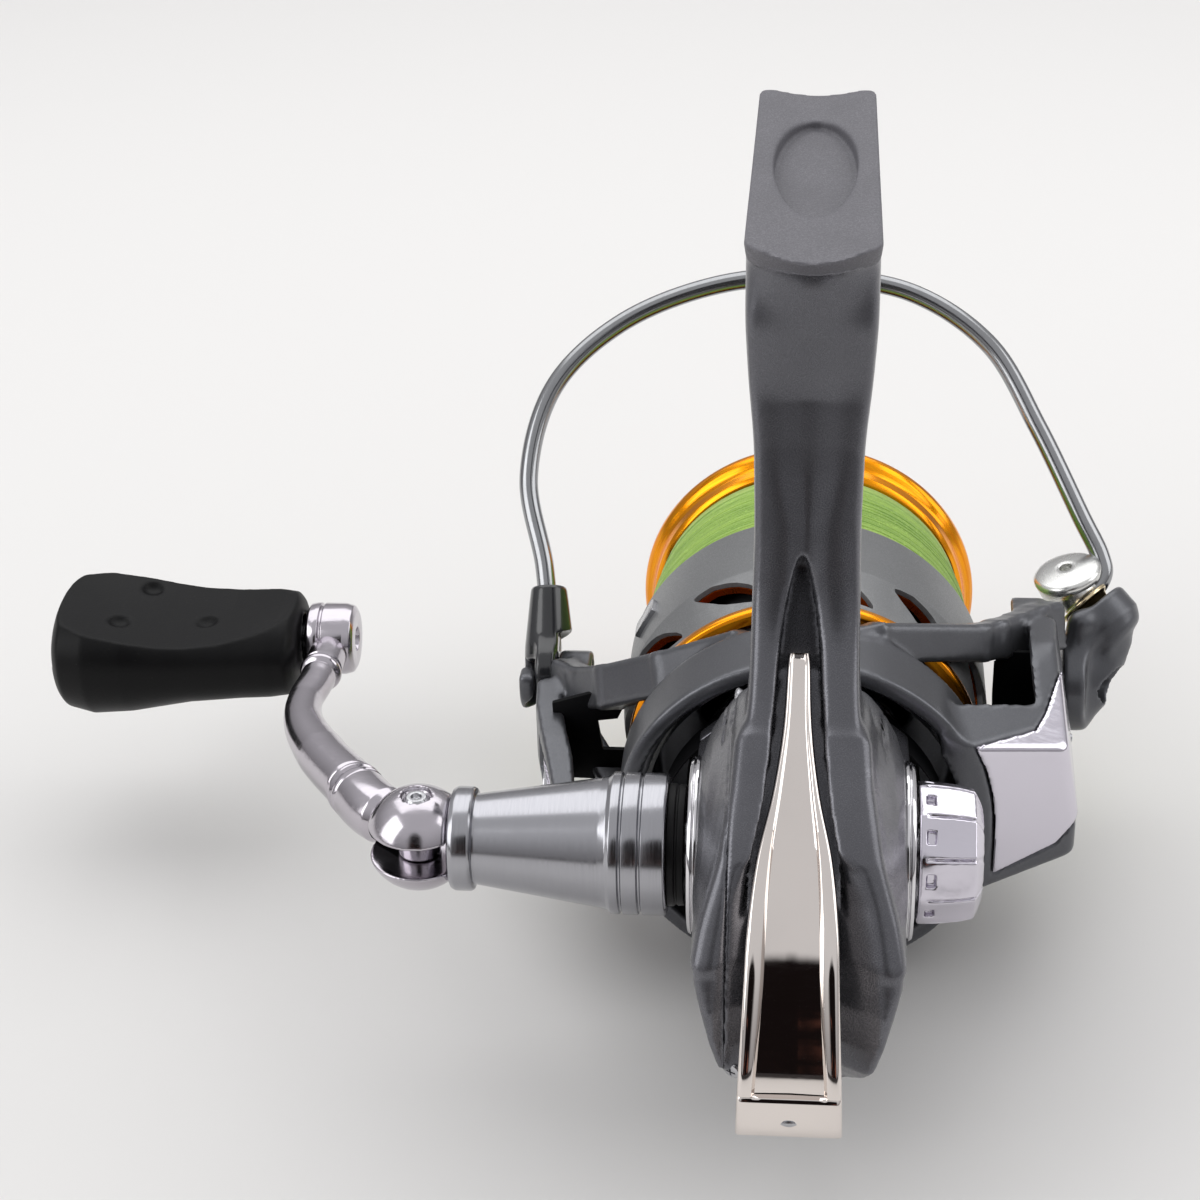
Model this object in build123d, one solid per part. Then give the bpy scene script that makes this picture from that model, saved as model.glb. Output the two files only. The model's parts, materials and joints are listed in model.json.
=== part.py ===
from build123d import *
from math import atan2, cos, degrees, pi, radians, sin, sqrt, tan
import os

# Spinning reel for a fishing rod, built piece by piece.
#
# Works frame, in millimetres: the spool axis is the Y axis with +Y towards the
# line lip, the handle axis is parallel to X and crosses above it at Y = 0, and
# +Z points at the rod foot.  Every piece is moved once, in save(), so that the
# finished part has its origin at the middle of the foot's seat on the rod.

# ---------------------------------------------------------------- driving sizes
FOOT_HEIGHT = 78.0          # spool axis to the foot's seat
FOOT_REAR_Y = 0.5           # rear end of the foot
FOOT_LENGTH = 50.0
FOOT_WIDTH = 14.4
FOOT_THICK = 3.4
FOOT_CHANNEL_RADIUS = 18.0  # hollow that seats on the rod blank
FOOT_CHANNEL_DEPTH = 0.7
FOOT_DIMPLE_LENGTH = 25.0
FOOT_DIMPLE_WIDTH = 9.6
FOOT_DIMPLE_DEPTH = 1.1
HANDLE_Z = 7.5              # handle axis above the spool axis
CASE_HALF_WIDTH = 11.4      # case from the middle plane to a side boss
CASE_RADIUS = 20.6
CASE_CENTRE_Y = -2.0
CASE_CENTRE_Z = 6.0
CASE_EDGE_HALF_WIDTH = 7.4   # half thickness of the case at its rim
CASE_DOME = 0.45            # bulge of each side beyond a straight cone
BOSS_RADIUS = 10.1          # round boss on each side, under the trim ring
CASE_FRONT_Y = 14.4         # flat front of the case, behind the rotor
NECK_BASE_RADIUS = 17.2
NECK_BASE_FRONT_Y = 16.8
COVER_SPLIT_X = -7.6        # plane where the side cover meets the case
NECK_RADIUS = 13.2          # front neck that carries the clutch
NECK_FRONT_Y = 28.0
STEM_WIDTH = 11.6
LIP_RADIUS = 22.5
LIP_FRONT_Y = 72.0
SKIRT_RADIUS = 23.0
SKIRT_FRONT_Y = 50.0
SKIRT_KNEE_Y = 38.0
SKIRT_REAR_Y = 31.4
SKIRT_REAR_RADIUS = 21.6
SKIRT_WALL = 1.4
REAR_RING_WIDTH = 1.8
ARBOR_RADIUS = 15.0
LINE_RADIUS_REAR = 21.8
LINE_RADIUS_FRONT = 20.4
DRAG_BORE_RADIUS = 11.5
SHAFT_RADIUS = 1.8          # main shaft
SHAFT_REAR_Y = -19.0
SHAFT_STROKE = 12.0         # travel of spool and shaft
ROTOR_BARREL_RADIUS = 19.4
ROTOR_WALL = 1.6
ROTOR_REAR_Y = 15.6
ROTOR_FRONT_Y = 44.0
ROTOR_RIM_RADIUS = 22.3
ROTOR_RIM_FRONT_Y = 26.0
ROTOR_OPENING_RADIUS = 18.4
ROTOR_WEB_Y = 31.0          # rear face of the web that sits on the pinion
ROTOR_WEB_THICK = 3.0
ARM_X = 34.6                # outer face of a rotor arm
ARM_THICK = 3.2
ARM_REAR_Y = 22.5
EAR_Y = 49.0                # bail pivot
EAR_RADIUS = 5.6
BAIL_WIRE_RADIUS = 1.25
BAIL_SLOPE = 50.0           # degrees between the loop and the spool axis
BAIL_ARM_GAP = 0.4          # side play of the bail arms on the rotor arms
BAIL_ARM_THICK = 3.4
ROLLER_RADIUS = 3.6
ROLLER_WIDTH = 4.4
SLEEVE_START_X = -14.9      # handle sleeve, next to its gasket
SLEEVE_BAND_RADIUS = 8.05
SLEEVE_BIG_RADIUS = 7.5
SLEEVE_SMALL_RADIUS = 5.15
SLEEVE_COLLAR_RADIUS = 5.8
SLEEVE_END_X = -39.7
FORK_RADIUS = 6.1
FORK_CENTRE_X = -43.5
FORK_SLOT = 5.6
KNUCKLE_THICK = 5.2
FOLD_PIN_RADIUS = 1.4
ARM_ELBOW = (-63.6, 37.0, 4.7)
KNOB_AXIS_Y = 50.0
KNOB_AXIS_Z = 3.6
ARM_END_RADIUS = 4.7
ARM_END_INNER_X = -59.2
ARM_END_OUTER_X = -65.6
ARM_TUBE_RADIUS = 3.1
KNOB_LENGTH = 33.0
KNOB_SHAFT_RADIUS = 1.9
CAP_INNER_X = 12.9
CAP_OUTER_X = 20.2
CAP_RADIUS = 8.25
CAP_TIP_RADIUS = 7.1
CAP_FACETS = 12
DRIVE_TEETH = 40
PINION_TEETH = 8
MESH_RADIUS = 13.5          # drive gear radius at the mesh
TOOTH_ADDENDUM = 0.5
TOOTH_DEDENDUM = 0.8
TOOTH_SHARE = 0.33          # tooth thickness as a share of the pitch
GEAR_FACE = 3.0
GEAR_BACK_X = -7.3
GEAR_WEB = 1.4
SPUR_DRIVER_TEETH = 14
SPUR_DRIVEN_TEETH = 28
SPUR_MODULE = 0.6
SPUR_WIDTH = 2.0
AXLE_RADIUS = 3.0
BEARING_OUTER = 7.0
BEARING_WIDTH = 3.0
DRAG_KNOB_RADIUS = 12.6
DRAG_KNOB_LENGTH = 12.0

# ---------------------------------------------------------------- fits
RUN_FIT = 0.05              # radial play of a running fit
SEAT_GAP = 0.02             # play of a piece held still in its seat
SIDE_GAP = 0.3              # play beside a turning piece
BALL_PLAY = 0.03

# ---------------------------------------------------------------- derived places
MESH_Y = sqrt(MESH_RADIUS ** 2 - HANDLE_Z ** 2)
GEAR_RATIO = DRIVE_TEETH / PINION_TEETH
PINION_RADIUS = MESH_RADIUS ** 2 / (MESH_Y * GEAR_RATIO)
HELIX_ANGLE = atan2(HANDLE_Z, MESH_Y)
FOOT_MIDDLE_Y = FOOT_REAR_Y + FOOT_LENGTH / 2
GEAR_FACE_X = -PINION_RADIUS
SPUR_DRIVER_RADIUS = SPUR_MODULE * SPUR_DRIVER_TEETH / 2
SPUR_DRIVEN_RADIUS = SPUR_MODULE * SPUR_DRIVEN_TEETH / 2
SPUR_DISTANCE = SPUR_DRIVER_RADIUS + SPUR_DRIVEN_RADIUS + 0.12
SPUR_X = 4.2                # inner face of the spur pair
BAIL_DIR = (0.0, cos(radians(BAIL_SLOPE)), sin(radians(BAIL_SLOPE)))


def save(shape, node):
    """Write one node with the origin moved to the foot's seat."""
    moved = Pos(0, -FOOT_MIDDLE_Y, -FOOT_HEIGHT) * shape
    export_step(moved, f"parts/{node}.step")


def group(solids):
    """Separate solids that share a node."""
    return Compound(children=list(solids))


def rod_x(radius, x0, x1, y=0.0, z=0.0):
    """Cylinder along X."""
    return Pos((x0 + x1) / 2, y, z) * Rot(0, 90, 0) * Cylinder(radius, abs(x1 - x0))


def rod_y(radius, y0, y1, x=0.0, z=0.0):
    """Cylinder along Y."""
    return Pos(x, (y0 + y1) / 2, z) * Rot(90, 0, 0) * Cylinder(radius, abs(y1 - y0))


def rod_z(radius, z0, z1, x=0.0, y=0.0):
    """Cylinder along Z."""
    return Pos(x, y, (z0 + z1) / 2) * Cylinder(radius, abs(z1 - z0))


def box(x0, x1, y0, y1, z0, z1):
    """Box between two corners."""
    size = (abs(x1 - x0), abs(y1 - y0), abs(z1 - z0))
    return Pos((x0 + x1) / 2, (y0 + y1) / 2, (z0 + z1) / 2) * Box(*size)


def turned_y(points):
    """Solid of revolution about the spool axis from (radius, y) points."""
    face = make_face(Polyline(*[(r, y) for r, y in points], close=True))
    return revolve(face, Axis.Y, 360)


def turned_x(points, y=0.0, z=HANDLE_Z):
    """Solid of revolution about a cross axis from (x, radius) points."""
    face = make_face(Polyline(*[(x, r) for x, r in points], close=True))
    return Pos(0, y, z) * revolve(face, Axis.X, 360)


def slab_x(points, x0, x1):
    """Outline of (y, z) points extruded along X."""
    face = make_face(Polyline(*[(0, y, z) for y, z in points], close=True))
    return extrude(Pos(x0, 0, 0) * face, x1 - x0, dir=(1, 0, 0))


def slab_y(points, y0, y1):
    """Outline of (x, z) points extruded along Y."""
    face = make_face(Polyline(*[(x, 0, z) for x, z in points], close=True))
    return extrude(Pos(0, y0, 0) * face, y1 - y0, dir=(0, 1, 0))


def slab_z(points, z0, z1):
    """Outline of (x, y) points extruded along Z."""
    face = make_face(Polyline(*[(x, y, 0) for x, y in points], close=True))
    return extrude(Pos(0, 0, z0) * face, z1 - z0, dir=(0, 0, 1))


def about_y(shape, angle):
    """Turn a shape about the spool axis."""
    return shape.rotate(Axis.Y, angle)


def ball_bearing(bore, outer, width, balls=8):
    """Races and balls of a bearing, centred on the origin with its axis along X."""
    middle = (bore + outer) / 2
    ball = (outer - bore) * 0.26
    half = width / 2
    inner = turned_x([(-half, bore), (half, bore), (half, middle - ball * 0.7),
                      (-half, middle - ball * 0.7)], 0, 0)
    ring = turned_x([(-half, middle + ball * 0.7), (half, middle + ball * 0.7), (half, outer),
                     (-half, outer)], 0, 0)
    track = Rot(0, 90, 0) * Torus(middle, ball + BALL_PLAY)
    pieces = [inner - track, ring - track]
    for index in range(balls):
        angle = 2 * pi * index / balls
        pieces.append(Pos(0, middle * cos(angle), middle * sin(angle)) * Sphere(ball))
    return pieces


def bearing_at_x(sizes, x, y, z):
    """Bearing on a cross axis."""
    return [Pos(x, y, z) * piece for piece in ball_bearing(*sizes)]


def bearing_at_y(sizes, y):
    """Bearing on the spool axis."""
    return [Pos(0, y, 0) * Rot(0, 0, 90) * piece for piece in ball_bearing(*sizes)]


def screw(radius, length, head_radius, head_height):
    """Cross-head screw along +Z: the head's top is at z = 0 and the shank goes down."""
    body = Pos(0, 0, -head_height / 2) * Cylinder(head_radius, head_height)
    shank = Pos(0, 0, -head_height - length / 2) * Cylinder(radius, length)
    slot = Box(head_radius * 1.2, head_radius * 0.28, head_height * 0.9)
    return body + shank - slot - Rot(0, 0, 90) * slot


def skin(sections):
    """Solid through a list of four-cornered sections, with flat triangles between them."""
    faces = []
    for cap in (sections[0], sections[-1]):
        faces.append(Face(Wire.make_polygon([cap[0], cap[1], cap[2]])))
        faces.append(Face(Wire.make_polygon([cap[0], cap[2], cap[3]])))
    for near, far in zip(sections, sections[1:]):
        for corner in range(len(near)):
            after = (corner + 1) % len(near)
            faces.append(Face(Wire.make_polygon([near[corner], near[after], far[corner]])))
            faces.append(Face(Wire.make_polygon([near[after], far[after], far[corner]])))
    return Solid(Shell(faces))


def on_bail(x, along, off=0.0):
    """Point in the plane of the bail: across, along from the pivot, and off the plane."""
    slope = radians(BAIL_SLOPE)
    y = EAR_Y + along * cos(slope) - off * sin(slope)
    return (x, y, along * sin(slope) + off * cos(slope))


def along_axis(shape, centre, direction):
    """Stand a shape, made along +Z at the origin, on an axis through a point."""
    return Plane(origin=centre, z_dir=direction) * shape


def washer(outer, inner, low, high):
    """Flat ring along +Z."""
    return Pos(0, 0, (low + high) / 2) * (Cylinder(outer, high - low) - Cylinder(inner, high - low + 1))


# ---------------------------------------------------------------- places of the works
TAIL_HALF_WIDTH = 7.4
STEM_ROOT_WIDTH = 17.0
COVER_TOP_Z = 27.2          # the side cover ends here, under the stem
GEAR_OUTER = MESH_RADIUS + GEAR_FACE / 2
ROOM_LEFT_X = -8.6
ROOM_RIGHT_X = 8.8
BEARING_LEFT_X = -9.2
BEARING_RIGHT_X = 9.2
RING_THICK = 1.15
SPUR_Y = -10.4
SPUR_Z = HANDLE_Z - sqrt(SPUR_DISTANCE ** 2 - SPUR_Y ** 2)
GEAR_POST_RADIUS = 1.5
GUIDE_RADIUS = 0.8
GUIDE_X = 0.5
GUIDE_Z = -5.2
GUIDE_REAR_Y = SHAFT_REAR_Y - 3.4
GUIDE_FRONT_Y = 6.0
COVER_SCREW_PLACES = [(-15.2, 18.2), (-16.0, -5.0), (11.0, 20.0)]
CASE_SCREW_HEAD = 1.6
PINION_TUBE_RADIUS = 3.0
PINION_FACE = 4.4
PINION_NECK = 0.6           # relief between the teeth and the tube, clear of the drive gear's tips
PINION_FRONT_Y = 38.4
PINION_HAND = -1           # left-handed helix, to mesh with straight radial teeth
PINION_BEARING_OUTER = 6.5
PINION_BEARING_WIDTH = 2.4
CLUTCH_REAR_Y = 18.6
CLUTCH_FRONT_Y = 25.6
CLUTCH_OUTER = 11.4
CLUTCH_INNER = 8.6
CLUTCH_SLEEVE_RADIUS = 6.4
CLUTCH_ROLLERS = 8
FRONT_BEARING_Y = CLUTCH_FRONT_Y + 0.3 + PINION_BEARING_WIDTH / 2
NECK_COVER_FRONT_Y = NECK_FRONT_Y + 1.6
HANDLE_ROD_RADIUS = 1.9
AXLE_LEFT_X = SLEEVE_START_X + 0.05
AXLE_RIGHT_X = CAP_INNER_X - 0.1
KNUCKLE_RADIUS = 2.6
KNOB_INNER_X = ARM_END_OUTER_X - 0.4
ROTOR_HUB_RADIUS = 6.4
ROTOR_HUB_FRONT_Y = 35.6
NUT_SCREW_RADIUS = 8.4
ROTOR_NUT_WELL = 1.95
POCKET_REAR_Y = 25.0
POCKET_FRONT_Y = 35.0
POCKET_HALF = 3.2
KICK_TRAVEL = 2.0
COVER_SCREW_Y = 36.7
BAIL_POINTS = [(-35.6, 6.0, 0), (-35.8, 14.0, 0), (-37.5, 26.0, 0), (-34.6, 38.5, 0), (-26.0, 47.4, 0),
               (-13.0, 53.0, 0), (0.0, 54.2, 0), (13.0, 52.2, 0), (23.3, 45.2, 0), (29.8, 34.0, 0),
               (35.6, 21.8, 0), (38.5, 17.3, 0), (38.15, 14.84, 0)]
ROLLER_CENTRE = on_bail(37.2, 9.2)
ROLLER_AXIS = (-0.67, 0.74 * cos(radians(BAIL_SLOPE)), 0.74 * sin(radians(BAIL_SLOPE)))
ROLLER_PIN_RADIUS = 1.0
CONE_RADIUS = 4.4
CONE_CENTRE = ROLLER_WIDTH / 2 + SIDE_GAP + 1.2
SHAFT_FRONT_Y = 82.0
SHAFT_PIN_Y = 44.3
SLIDER_SCREW_X = -2.25      # outer face of the clamp screw, sunk in the slider
SLIDER_SCREW_THICK = 0.5
SLIDER_SCREW_Y = SHAFT_REAR_Y + 3.5
SLIDER_SCREW_Z = -3.4
FLANGE_REAR_Y = 67.0
LIP_REAR_Y = LIP_FRONT_Y - 3.2
HUB_BORE = 3.2
WEB_Y = 58.0
SKIRT_SLOTS = 12
LINE_CLIP_ANGLE = -62.0
DRAG_PITCH = 1.2
DRAG_KNOB_REAR_Y = 73.0
STEM_REAR = [(4.5, 74.8), (6.0, 62), (4.6, 53), (3.0, 46), (1.0, 39), (-2.0, 34.6),
             (-8.0, 29.0), (-14.0, 24.2), (-20.0, 19.6)]
STEM_FRONT = [(2, 16), (9.5, 23.5), (12.6, 30), (15.2, 40), (18.2, 50), (24, 60), (34.0, 74.8)]
GUARD_BACK = [(-1.8, 34.4), (-8.0, 29.3), (-14.0, 24.7), (-20.0, 20.2), (-26.0, 15.6), (-29.6, 11.4),
              (-33.0, 5.4), (-34.8, 0.5), (-35.2, -4.2)]
GUARD_FRONT = [(-31.4, -7.0), (-31.0, 0.2), (-28.0, 11.2), (-18.8, 20.0), (-8.4, 27.6), (-3.2, 32.4)]


# ---------------------------------------------------------------- housing
def case_solid():
    """Outer form of the case before it is hollowed."""
    half = CASE_HALF_WIDTH
    edge = CASE_EDGE_HALF_WIDTH
    middle = ((half + edge) / 2 + CASE_DOME, (BOSS_RADIUS + CASE_RADIUS) / 2)
    right = ThreePointArc((half, BOSS_RADIUS), middle, (edge, CASE_RADIUS))
    left = ThreePointArc((-edge, CASE_RADIUS), (-middle[0], middle[1]), (-half, BOSS_RADIUS))
    ends = Polyline((-half, BOSS_RADIUS), (-half, 0), (half, 0), (half, BOSS_RADIUS))
    rim = Line((edge, CASE_RADIUS), (-edge, CASE_RADIUS))
    drum = Pos(0, CASE_CENTRE_Y, CASE_CENTRE_Z) * revolve(make_face([right, rim, left, ends]), Axis.X,
                                                          360)
    drum &= box(-40, 40, -60, CASE_FRONT_Y, -40, 40)
    bosses = rod_x(BOSS_RADIUS, -CASE_HALF_WIDTH, CASE_HALF_WIDTH, 0, HANDLE_Z)
    tail = slab_x([(-18, 20.4), (-27.0, 12.0), (-30.4, 0), (-27.5, -8.4), (-14, -13.4), (0, -10),
                   (0, 20)],
                  -TAIL_HALF_WIDTH, TAIL_HALF_WIDTH)
    base = rod_y(NECK_BASE_RADIUS, CASE_FRONT_Y - 1.0, NECK_BASE_FRONT_Y)
    neck = rod_y(NECK_RADIUS, CASE_FRONT_Y - 1.0, NECK_FRONT_Y)
    return drum + bosses + tail + base + neck


def case_cavity():
    """Room for the gears, the slider, the shaft and the clutch."""
    gear_room = rod_x(GEAR_OUTER + 0.5, ROOM_LEFT_X, ROOM_RIGHT_X, 0, HANDLE_Z)
    spur_room = rod_x(SPUR_DRIVEN_RADIUS + 1.1, -2.6, ROOM_RIGHT_X, SPUR_Y, SPUR_Z)
    slider_room = box(-3.4, SPUR_X, SHAFT_REAR_Y - 2.4, 0, -7.4, 4.4)
    clutch_room = rod_y(CLUTCH_OUTER + SEAT_GAP, CLUTCH_REAR_Y, NECK_FRONT_Y + 1)
    pinion_room = rod_y(PINION_RADIUS + TOOTH_ADDENDUM + 0.5, -2, CLUTCH_REAR_Y + 1)
    seat = rod_y(PINION_BEARING_OUTER + SEAT_GAP, CLUTCH_REAR_Y - PINION_BEARING_WIDTH,
                 CLUTCH_REAR_Y + 1)
    return gear_room + spur_room + slider_room + clutch_room + pinion_room + seat


def stem():
    """Stem between the case and the foot."""
    blade = slab_x(STEM_REAR + STEM_FRONT, -STEM_WIDTH / 2, STEM_WIDTH / 2)
    top = FOOT_HEIGHT - FOOT_THICK
    half_foot = FOOT_WIDTH / 2
    half_stem = STEM_WIDTH / 2
    flare = slab_y([(-half_foot, top + 1), (half_foot, top + 1), (half_foot, top - 4),
                    (half_stem, top - 22),
                    (-half_stem, top - 22), (-half_foot, top - 4)], 0, 40)
    flare &= slab_x([(4.5, top + 0.4), (6.0, 62), (4.8, 54), (19.6, 52), (24, 60), (34.0, top + 0.4)],
                    -half_foot, half_foot)
    root = slab_y([(-STEM_ROOT_WIDTH / 2, 14), (STEM_ROOT_WIDTH / 2, 14), (half_stem, 34),
                   (-half_stem, 34)], -30, 20)
    root &= slab_x([(-2.0, 34.4), (-8.0, 28.8), (-14.0, 24.0), (-20.0, 19.4), (-16, 14), (2, 16),
                    (9.5, 23.5), (12.4, 30)],
                   -STEM_ROOT_WIDTH, STEM_ROOT_WIDTH)
    return blade + flare + root


def foot():
    """Foot plate with its hollow for the rod and the oval dimple."""
    half = FOOT_WIDTH / 2
    rear = FOOT_REAR_Y
    front = rear + FOOT_LENGTH
    low = FOOT_HEIGHT - FOOT_THICK
    outline = [(-half, rear + 6), (-half * 0.45, rear), (half * 0.45, rear), (half, rear + 6),
               (half, front - 1), (half - 1, front), (-half + 1, front), (-half, front - 1)]
    plate = slab_z(outline, low, FOOT_HEIGHT)
    wedge = slab_x([(front + 1, low - 1), (front + 1, low + 1.8), (front - 16, low),
                    (front - 16, low - 1)],
                   -FOOT_WIDTH, FOOT_WIDTH)
    channel_z = FOOT_HEIGHT + FOOT_CHANNEL_RADIUS - FOOT_CHANNEL_DEPTH
    channel = rod_y(FOOT_CHANNEL_RADIUS, rear - 5, front + 5, 0, channel_z)
    oval = extrude(Ellipse(FOOT_DIMPLE_WIDTH / 2, FOOT_DIMPLE_LENGTH / 2), FOOT_DIMPLE_DEPTH + 1)
    dimple = Pos(0, FOOT_MIDDLE_Y, FOOT_HEIGHT - FOOT_CHANNEL_DEPTH - FOOT_DIMPLE_DEPTH) * oval
    return plate - wedge - channel - dimple


def guard_form(grow=0.0):
    """Solid form of the tail guard, or of its seat when grown."""
    side = slab_x(GUARD_BACK + GUARD_FRONT, -6.0 - grow, 6.0 + grow)
    taper = slab_y([(-1.3 - grow, 40), (1.3 + grow, 40), (1.8 + grow, 29), (2.9 + grow, 23.6),
                    (4.6 + grow, 18.6),
                    (5.3 + grow, 13), (5.9 + grow, -12), (-5.9 - grow, -12), (-5.3 - grow, 13),
                    (-4.6 - grow, 18.6),
                    (-2.9 - grow, 23.6), (-1.8 - grow, 29)], -40, 6)
    return side & taper


def rear_guard():
    """Bright guard down the back of the stem and the tail."""
    dish = slab_x([(-25.4, 19.4), (-31.4, 11.8), (-34.6, 5.4), (-36.4, -0.6), (-38, 20)], -4.2, 4.2)
    lower_hole = Pos(0, -34.3, -4.5) * Rot(105, 0, 0)
    return guard_form() - dish - lower_hole * (Cylinder(2.0, 3.2) + Cylinder(0.95, 14))


def guard_screws():
    """Screw at the guard's lower end, and one in its left flank."""
    lower = Pos(0, -34.3, -4.5) * Rot(105, 0, 0) * screw(0.9, 4.5, 1.9, 1.0)
    flank = Pos(-TAIL_HALF_WIDTH - 0.9, -24.0, 2.0) * Rot(0, -90, 0) * screw(0.9, 4.0, 1.7, 0.9)
    return [lower, flank]


def main_housing():
    """Case, neck, stem and foot in one casting, open on its left."""
    body = case_solid() + stem() + foot()
    cover_space = box(-40, COVER_SPLIT_X, -60, CASE_FRONT_Y, -40, COVER_TOP_Z)
    body -= cover_space
    body -= case_cavity()
    body -= guard_form(SEAT_GAP)
    slot = slab_x([(3.0, 45), (1.4, 39), (-5.0, 31), (-12, 24.8), (-19.4, 18.8), (-26, 16), (-12, 34),
                   (-4, 45)],
                  -2.9, 2.9)
    slot &= slab_y([(0, 42), (-2.2, 36), (-2.9, 30), (-2.9, 10), (2.9, 10), (2.9, 30), (2.2, 36)], -40,
                   10)
    body -= slot
    body -= rod_x(BEARING_OUTER + SEAT_GAP, 4, BEARING_RIGHT_X + BEARING_WIDTH / 2, 0, HANDLE_Z)
    body -= rod_x(AXLE_RADIUS + 1.2, 0, 20, 0, HANDLE_Z)
    body -= rod_y(GUIDE_RADIUS + SEAT_GAP, GUIDE_REAR_Y, GUIDE_FRONT_Y, GUIDE_X, GUIDE_Z)
    body -= Pos(0, -34.3, -4.5) * Rot(105, 0, 0) * Pos(0, 0, -4) * Cylinder(0.95, 9)
    body -= rod_x(0.95, -9, -2.5, -24.0, 2.0)
    for y, z in COVER_SCREW_PLACES:
        body -= rod_x(0.95, COVER_SPLIT_X - 1, COVER_SPLIT_X + 5, y, z)
    return body


def side_cover():
    """Left shell of the case with the boss of the handle bearing."""
    space = box(-40, COVER_SPLIT_X - SEAT_GAP, -60, CASE_FRONT_Y - SEAT_GAP, -40,
                COVER_TOP_Z - SEAT_GAP)
    shell = case_solid() & space
    shell -= rod_x(GEAR_OUTER + 0.5, ROOM_LEFT_X, 0, 0, HANDLE_Z)
    shell -= rod_x(BEARING_OUTER + SEAT_GAP, BEARING_LEFT_X - BEARING_WIDTH / 2, 0, 0, HANDLE_Z)
    shell -= rod_x(AXLE_RADIUS + 1.2, -20, 0, 0, HANDLE_Z)
    for y, z in COVER_SCREW_PLACES:
        shell -= rod_x(0.95, -20, 0, y, z)
        shell -= rod_x(CASE_SCREW_HEAD + 0.05, -20, COVER_SPLIT_X - 0.3, y, z)
    return shell


def cover_screws():
    """Screws of the side cover."""
    return [Pos(COVER_SPLIT_X - 0.92, y, z) * Rot(0, -90, 0) * screw(0.9, 4.2, CASE_SCREW_HEAD, 0.6)
            for y, z in COVER_SCREW_PLACES]


def trim_ring(side):
    """Bright ring around a side boss."""
    near = side * (CASE_HALF_WIDTH + SEAT_GAP)
    far = side * (CASE_HALF_WIDTH + RING_THICK)
    step = side * (CASE_HALF_WIDTH + 0.5)
    return turned_x([(near, 7.2), (near, BOSS_RADIUS), (step, BOSS_RADIUS), (far, BOSS_RADIUS - 0.5),
                     (far, 7.2)])


def gear_bearings():
    """The two bearings of the drive axle."""
    sizes = (AXLE_RADIUS + RUN_FIT, BEARING_OUTER, BEARING_WIDTH)
    return group(bearing_at_x(sizes, BEARING_LEFT_X, 0, HANDLE_Z) + bearing_at_x(sizes, BEARING_RIGHT_X,
                                                                                 0, HANDLE_Z))


def pinion_bearings():
    """The two bearings of the pinion, behind and before the clutch."""
    sizes = (PINION_TUBE_RADIUS + RUN_FIT, PINION_BEARING_OUTER, PINION_BEARING_WIDTH)
    rear = CLUTCH_REAR_Y - PINION_BEARING_WIDTH / 2
    return group(bearing_at_y(sizes, rear) + bearing_at_y(sizes, FRONT_BEARING_Y))


def one_way_clutch():
    """Outer race and rollers of the one-way clutch."""
    race = turned_y([(CLUTCH_INNER, CLUTCH_REAR_Y + 0.2), (CLUTCH_OUTER, CLUTCH_REAR_Y + 0.2),
                     (CLUTCH_OUTER, CLUTCH_FRONT_Y), (CLUTCH_INNER, CLUTCH_FRONT_Y)])
    radius = (CLUTCH_INNER - CLUTCH_SLEEVE_RADIUS) / 2 - RUN_FIT
    middle = (CLUTCH_INNER + CLUTCH_SLEEVE_RADIUS) / 2
    turns = [2 * pi * k / CLUTCH_ROLLERS for k in range(CLUTCH_ROLLERS)]
    rollers = [rod_y(radius, CLUTCH_REAR_Y + 0.7, CLUTCH_FRONT_Y - 0.5, middle * cos(a),
                     middle * sin(a))
               for a in turns]
    return group([race] + rollers)


def neck_cover():
    """Plate that closes the neck and holds the front bearing."""
    plate = turned_y([(PINION_TUBE_RADIUS + 1.0, CLUTCH_FRONT_Y + 0.2),
                      (CLUTCH_OUTER - 0.1, CLUTCH_FRONT_Y + 0.2),
                      (CLUTCH_OUTER - 0.1, NECK_FRONT_Y + SEAT_GAP),
                      (NECK_RADIUS, NECK_FRONT_Y + SEAT_GAP),
                      (NECK_RADIUS - 0.4, NECK_COVER_FRONT_Y),
                      (PINION_TUBE_RADIUS + 1.0, NECK_COVER_FRONT_Y)])
    plate -= rod_y(PINION_BEARING_OUTER + SEAT_GAP, CLUTCH_FRONT_Y,
                   FRONT_BEARING_Y + PINION_BEARING_WIDTH / 2)
    for x, z in neck_screw_places():
        plate -= rod_y(0.8, 20, 40, x, z)
        plate -= rod_y(1.45, NECK_COVER_FRONT_Y - 0.8, 40, x, z)
    return plate


def neck_screw_places():
    """Places of the neck cover's screws, as (x, z)."""
    turns = [radians(90 + 120 * k) for k in range(3)]
    return [((NECK_RADIUS - 2.9) * cos(a), (NECK_RADIUS - 2.9) * sin(a)) for a in turns]


def neck_screws():
    """Screws of the neck cover."""
    return [Pos(x, NECK_COVER_FRONT_Y - 0.1, z) * Rot(-90, 0, 0) * screw(0.75, 1.6, 1.4, 0.65)
            for x, z in neck_screw_places()]


def case_screws():
    """All the cross-head screws of the case."""
    return group(guard_screws() + cover_screws() + neck_screws())


def friction_ring():
    """Rubber ring around the neck that steadies the rotor while casting."""
    return turned_y([(NECK_RADIUS + SEAT_GAP, 22.5), (NECK_RADIUS + 1.0, 22.9),
                     (NECK_RADIUS + 1.0, 24.6),
                     (NECK_RADIUS + SEAT_GAP, 25.0)])


def slider_guide():
    """Rod that the oscillation slider runs on."""
    return rod_y(GUIDE_RADIUS, GUIDE_REAR_Y + 0.1, GUIDE_FRONT_Y - 0.1, GUIDE_X, GUIDE_Z)


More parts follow.
